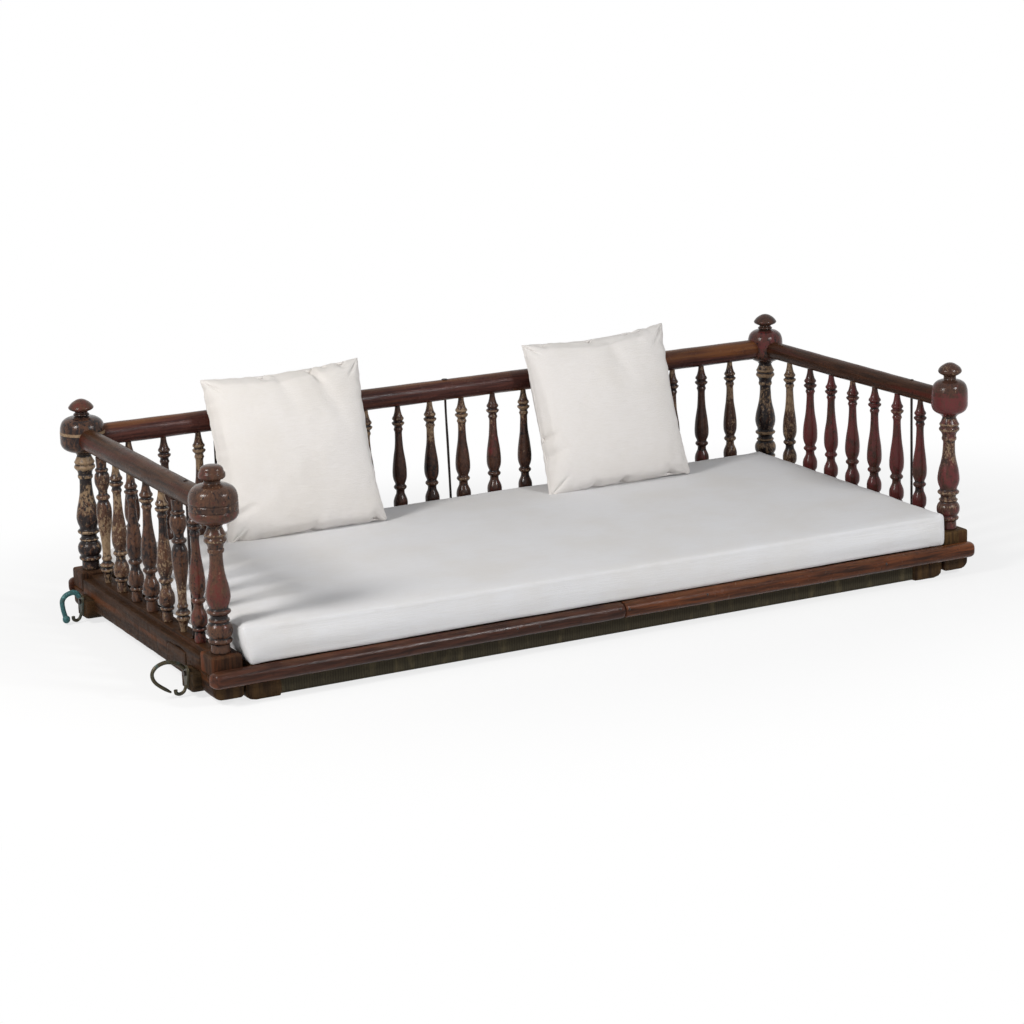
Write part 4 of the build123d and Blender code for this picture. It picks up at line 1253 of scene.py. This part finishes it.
def pillow_piece(node, facts):
    """Stuffed pillow, leaning on the back rail and standing on the mattress."""
    cover = crowned_cover("stuffed_" + node, facts)
    inflate(cover, 2.2, 14, 0.009)
    finely(cover)
    outward = [vertex.normal.copy() for vertex in cover.data.vertices]
    for vertex, normal in zip(cover.data.vertices, outward):
        u = vertex.co.x / (PILLOW_WIDTH / 2)
        v = vertex.co.z / (facts["height"] / 2)
        face_side = -1 if vertex.co.y < 0 else 1
        slack = 0.0022 * noise.fractal(Vector((u * 2.2, v * 2.2, facts["seed"] + face_side)), 1.0, 2.0, 3)
        slack += 0.0042 * pucker(u, v, facts["seed"])
        if normal.y < 0:
            slack -= crease_depth(u, v, facts["creases"])
        if min(abs(u), abs(v)) < 0.97 and max(abs(u), abs(v)) > 0.94:
            vertex.co.y += 0.003 * noise.noise(Vector((u * 7, v * 7, facts["seed"])))
        vertex.co += normal * slack * (1 - min(abs(u), abs(v), 1.0) ** 12)
    lift = Matrix.Rotation(radians(facts["turn"]), 4, "Z") @ Matrix.Rotation(radians(-PILLOW_LEAN), 4, "X")
    lift = lift @ Matrix.Rotation(radians(-facts["tilt"]), 4, "Y")
    cover.data.transform(lift)
    low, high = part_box(node)
    corners = [vertex.co for vertex in cover.data.vertices]
    bottom = min(corner.z for corner in corners)
    back = max(corner.y for corner in corners)
    place = (facts["x"], high.y + PILLOW_BEHIND - back, low.z - PILLOW_SINK - bottom)
    cover.data.transform(Matrix.Translation(place))
    rest = low.z - PILLOW_REST
    for vertex in cover.data.vertices:
        if vertex.co.z < rest:
            vertex.co.z = rest
        vertex.co.y = min(vertex.co.y, high.y)
    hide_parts(node)
    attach(cover, node)


MATTRESS_EDGE = 0.0105
MATTRESS_CELL = 0.014
MATTRESS_PIPING = 0.0012
MATTRESS_TUCK = 0.05  # length of the left end that is out of square
MATTRESS_TUCK_IN = 0.012  # at its foot
MATTRESS_BULGE = 0.009  # at its top
MATTRESS_BACK_SAG = 0.004
MATTRESS_RIGHT_GAP = 0.0005


def edge_marks(start, stop):
    """Places of the grid lines along one side, closer together over the rounded edges."""
    near = [MATTRESS_EDGE * share for share in (0, 0.32, 0.66, 1.0, 1.6)]
    count = max(1, int((stop - start - 2 * near[-1]) / MATTRESS_CELL))
    inner = [start + near[-1] + (stop - start - 2 * near[-1]) * step / count for step in range(1, count)]
    return [start + share for share in near] + inner + [stop - share for share in reversed(near)]


def boxed_pad(name, low, high):
    """Closed box of quads with rounded edges and a slightly raised seam along them."""
    marks = [edge_marks(low[axis], high[axis]) for axis in range(3)]
    lasts = [len(line) - 1 for line in marks]
    shape = bmesh.new()
    made = {}

    def vertex(key):
        if key not in made:
            place = Vector(marks[axis][key[axis]] for axis in range(3))
            core = Vector(
                min(max(place[axis], low[axis] + MATTRESS_EDGE), high[axis] - MATTRESS_EDGE)
                for axis in range(3)
            )
            out = place - core
            ends = sum(key[axis] in (0, lasts[axis]) for axis in range(3))
            reach = MATTRESS_EDGE + (MATTRESS_PIPING if ends > 1 else 0.0)
            made[key] = shape.verts.new(core + out.normalized() * reach)
        return made[key]

    for axis in range(3):
        one, two = (axis + 1) % 3, (axis + 2) % 3
        for level in (0, lasts[axis]):
            for i in range(lasts[one]):
                for j in range(lasts[two]):
                    keys = []
                    for step_i, step_j in ((0, 0), (1, 0), (1, 1), (0, 1)):
                        key = [0, 0, 0]
                        key[axis], key[one], key[two] = level, i + step_i, j + step_j
                        keys.append(vertex(tuple(key)))
                    shape.faces.new(keys if level else keys[::-1])
    return object_from(mesh_of(shape, name), name, MATTRESS_COTTON)


# How far the mattress's top lies above the level of its solid, at places along its front edge.
MATTRESS_SLUMP = [(-0.96, 0.0035), (-0.6, -0.001), (-0.1, -0.005), (0.5, -0.007), (0.96, -0.006)]


def slump_at(x):
    """Slump of the front edge at a place along the mattress."""
    last = len(MATTRESS_SLUMP) - 1
    after = next(index for index, (mark, _) in enumerate(MATTRESS_SLUMP) if x <= mark or index == last)
    left, right = MATTRESS_SLUMP[max(after - 1, 0)], MATTRESS_SLUMP[after]
    share = min(max((x - left[0]) / max(right[0] - left[0], 0.001), 0.0), 1.0)
    return left[1] + (right[1] - left[1]) * share


def mattress_piece():
    """Boxed cotton mattress with crisp edges, shallow waves and a little slump."""
    low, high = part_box("mattress")
    pad = boxed_pad("stuffed_mattress", low, high)
    inflate(pad, 2.0, 10, 0.003)
    outward = [vertex.normal.copy() for vertex in pad.data.vertices]
    thick = high.z - low.z
    for vertex, normal in zip(pad.data.vertices, outward):
        place = vertex.co
        up = (place.z - low.z) / thick
        front = (high.y - place.y) / (high.y - low.y)
        slump = slump_at(place.x) * front - MATTRESS_BACK_SAG * (1 - front)
        wave = 0.0022 * noise.fractal(Vector((place.x * 3.2, place.y * 6, place.z * 7)), 1.0, 2.0, 4)
        vertex.co = place + normal * wave + Vector((0.0, 0.0, slump * up))
        if place.x < low.x + MATTRESS_TUCK:
            share = 1 - (place.x - low.x) / MATTRESS_TUCK
            vertex.co.x += share * (MATTRESS_TUCK_IN * (1 - up) - MATTRESS_BULGE * up)
    finely(pad)
    for vertex in pad.data.vertices:
        vertex.co.x = min(max(vertex.co.x, low.x - MATTRESS_BULGE), high.x - MATTRESS_RIGHT_GAP)
        vertex.co.z = max(vertex.co.z, low.z)
        vertex.co.y = min(vertex.co.y, high.y)
    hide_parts("mattress")
    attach(pad, "mattress")


mattress_piece()
for node, facts in PILLOWS.items():
    pillow_piece(node, facts)


# Camera, floor and light


def camera_at(place, azimuth, elevation, roll, lens):
    """Camera at a place, looking down by elevation and turned by azimuth and roll, in radians."""
    back = Vector((sin(azimuth) * cos(elevation), -cos(azimuth) * cos(elevation), sin(elevation)))
    right = (-back).cross(Vector((0, 0, 1))).normalized()
    up = right.cross(-back)
    level_right = cos(roll) * right + sin(roll) * up
    level_up = -sin(roll) * right + cos(roll) * up
    data = bpy.data.cameras.new("Camera")
    data.lens = lens
    data.sensor_width = 36.0
    data.clip_end = 200.0
    camera = bpy.data.objects.new("Camera", data)
    bpy.context.scene.collection.objects.link(camera)
    turn_matrix = Matrix((level_right, level_up, back)).transposed().to_4x4()
    camera.matrix_world = Matrix.Translation(place) @ turn_matrix
    bpy.context.scene.camera = camera


camera_at(
    place=(-3.20254, -6.04771, 1.92910),
    azimuth=radians(-27.656),
    elevation=radians(14.120),
    roll=radians(-1.485),
    lens=98.49,
)


def soft_lamp(name, place, target, size, watts, colour):
    """Rectangular lamp that faces its target."""
    data = bpy.data.lights.new(name, "AREA")
    data.shape = "RECTANGLE"
    data.size, data.size_y = size
    data.energy = watts
    data.color = colour
    lamp = bpy.data.objects.new(name, data)
    bpy.context.scene.collection.objects.link(lamp)
    lamp.location = place
    lamp.rotation_euler = (Vector(target) - Vector(place)).to_track_quat("-Z", "Y").to_euler()


soft_lamp("Left softbox", (-3.34, -0.95, 2.50), (-0.3, 0, 0.2), (0.75, 1.0), 106, (1.0, 0.985, 0.965))
soft_lamp("Right softbox", (1.45, -3.34, 2.60), (0.2, 0, 0.2), (0.7, 0.7), 77, (0.97, 0.985, 1.0))


FLOOR_HALF = 45.0
FLOOR_DROP = 0.0005


def studio_floor():
    """Wide white floor that keeps a soft shadow and shows near white to the camera."""
    shape = bmesh.new()
    around = ((-1, -1), (1, -1), (1, 1), (-1, 1))
    corners = [shape.verts.new((x * FLOOR_HALF, y * FLOOR_HALF, -FLOOR_DROP)) for x, y in around]
    shape.faces.new(corners)
    material = bpy.data.materials.new("Studio floor")
    material.use_nodes = True
    material.node_tree.nodes.clear()
    shading = Shading(material.node_tree)
    matt = shading.node("ShaderNodeBsdfDiffuse", {"Color": (0.86, 0.86, 0.86, 1.0)})
    white = shading.node("ShaderNodeEmission", {"Color": (1.0, 1.0, 1.0, 1.0), "Strength": 1.0})
    path = shading.node("ShaderNodeLightPath").outputs
    seen = shading.maths("MAXIMUM", path["Is Camera Ray"], path["Is Glossy Ray"])
    where = shading.stretched(shading.node("ShaderNodeTexCoord").outputs["Object"], (0.62, 1.0, 0.0))
    away = shading.node("ShaderNodeVectorMath", {0: where}, operation="LENGTH").outputs["Value"]
    plain = shading.plus(0.74, shading.times(shading.between(away, 0.75, 1.5), 0.26))
    share = shading.times(seen, plain)
    mixed = shading.node("ShaderNodeMixShader", {0: share, 1: matt.outputs[0], 2: white.outputs[0]})
    ending = shading.node("ShaderNodeOutputMaterial")
    shading.feed(ending.inputs["Surface"], mixed.outputs[0])
    floor = object_from(mesh_of(shape, "studio_floor"), "studio_floor", material)


def studio_air():
    """Even light from all round, and white where the camera or a gloss sees it."""
    world = bpy.data.worlds.new("Studio")
    bpy.context.scene.world = world
    world.use_nodes = True
    world.node_tree.nodes.clear()
    shading = Shading(world.node_tree)
    path = shading.node("ShaderNodeLightPath").outputs
    direction = shading.node("ShaderNodeTexCoord").outputs["Generated"]
    upward = shading.node("ShaderNodeSeparateXYZ", {0: direction}).outputs["Z"]
    strength = shading.minus(0.56, shading.times(shading.between(upward, 0.05, 0.7), 0.34))
    level = shading.node("ShaderNodeBackground", {"Color": (1.0, 1.0, 1.0, 1.0), "Strength": strength})
    white = shading.node("ShaderNodeBackground", {"Color": (1.0, 1.0, 1.0, 1.0), "Strength": 1.0})
    seen = shading.maths("MAXIMUM", path["Is Camera Ray"], path["Is Transmission Ray"])
    seen = shading.maths("MAXIMUM", seen, path["Is Glossy Ray"])
    mixed = shading.node("ShaderNodeMixShader", {0: seen, 1: level.outputs[0], 2: white.outputs[0]})
    ending = shading.node("ShaderNodeOutputWorld")
    shading.feed(ending.inputs["Surface"], mixed.outputs[0])


studio_floor()
studio_air()
bpy.context.scene.view_settings.view_transform = "Standard"
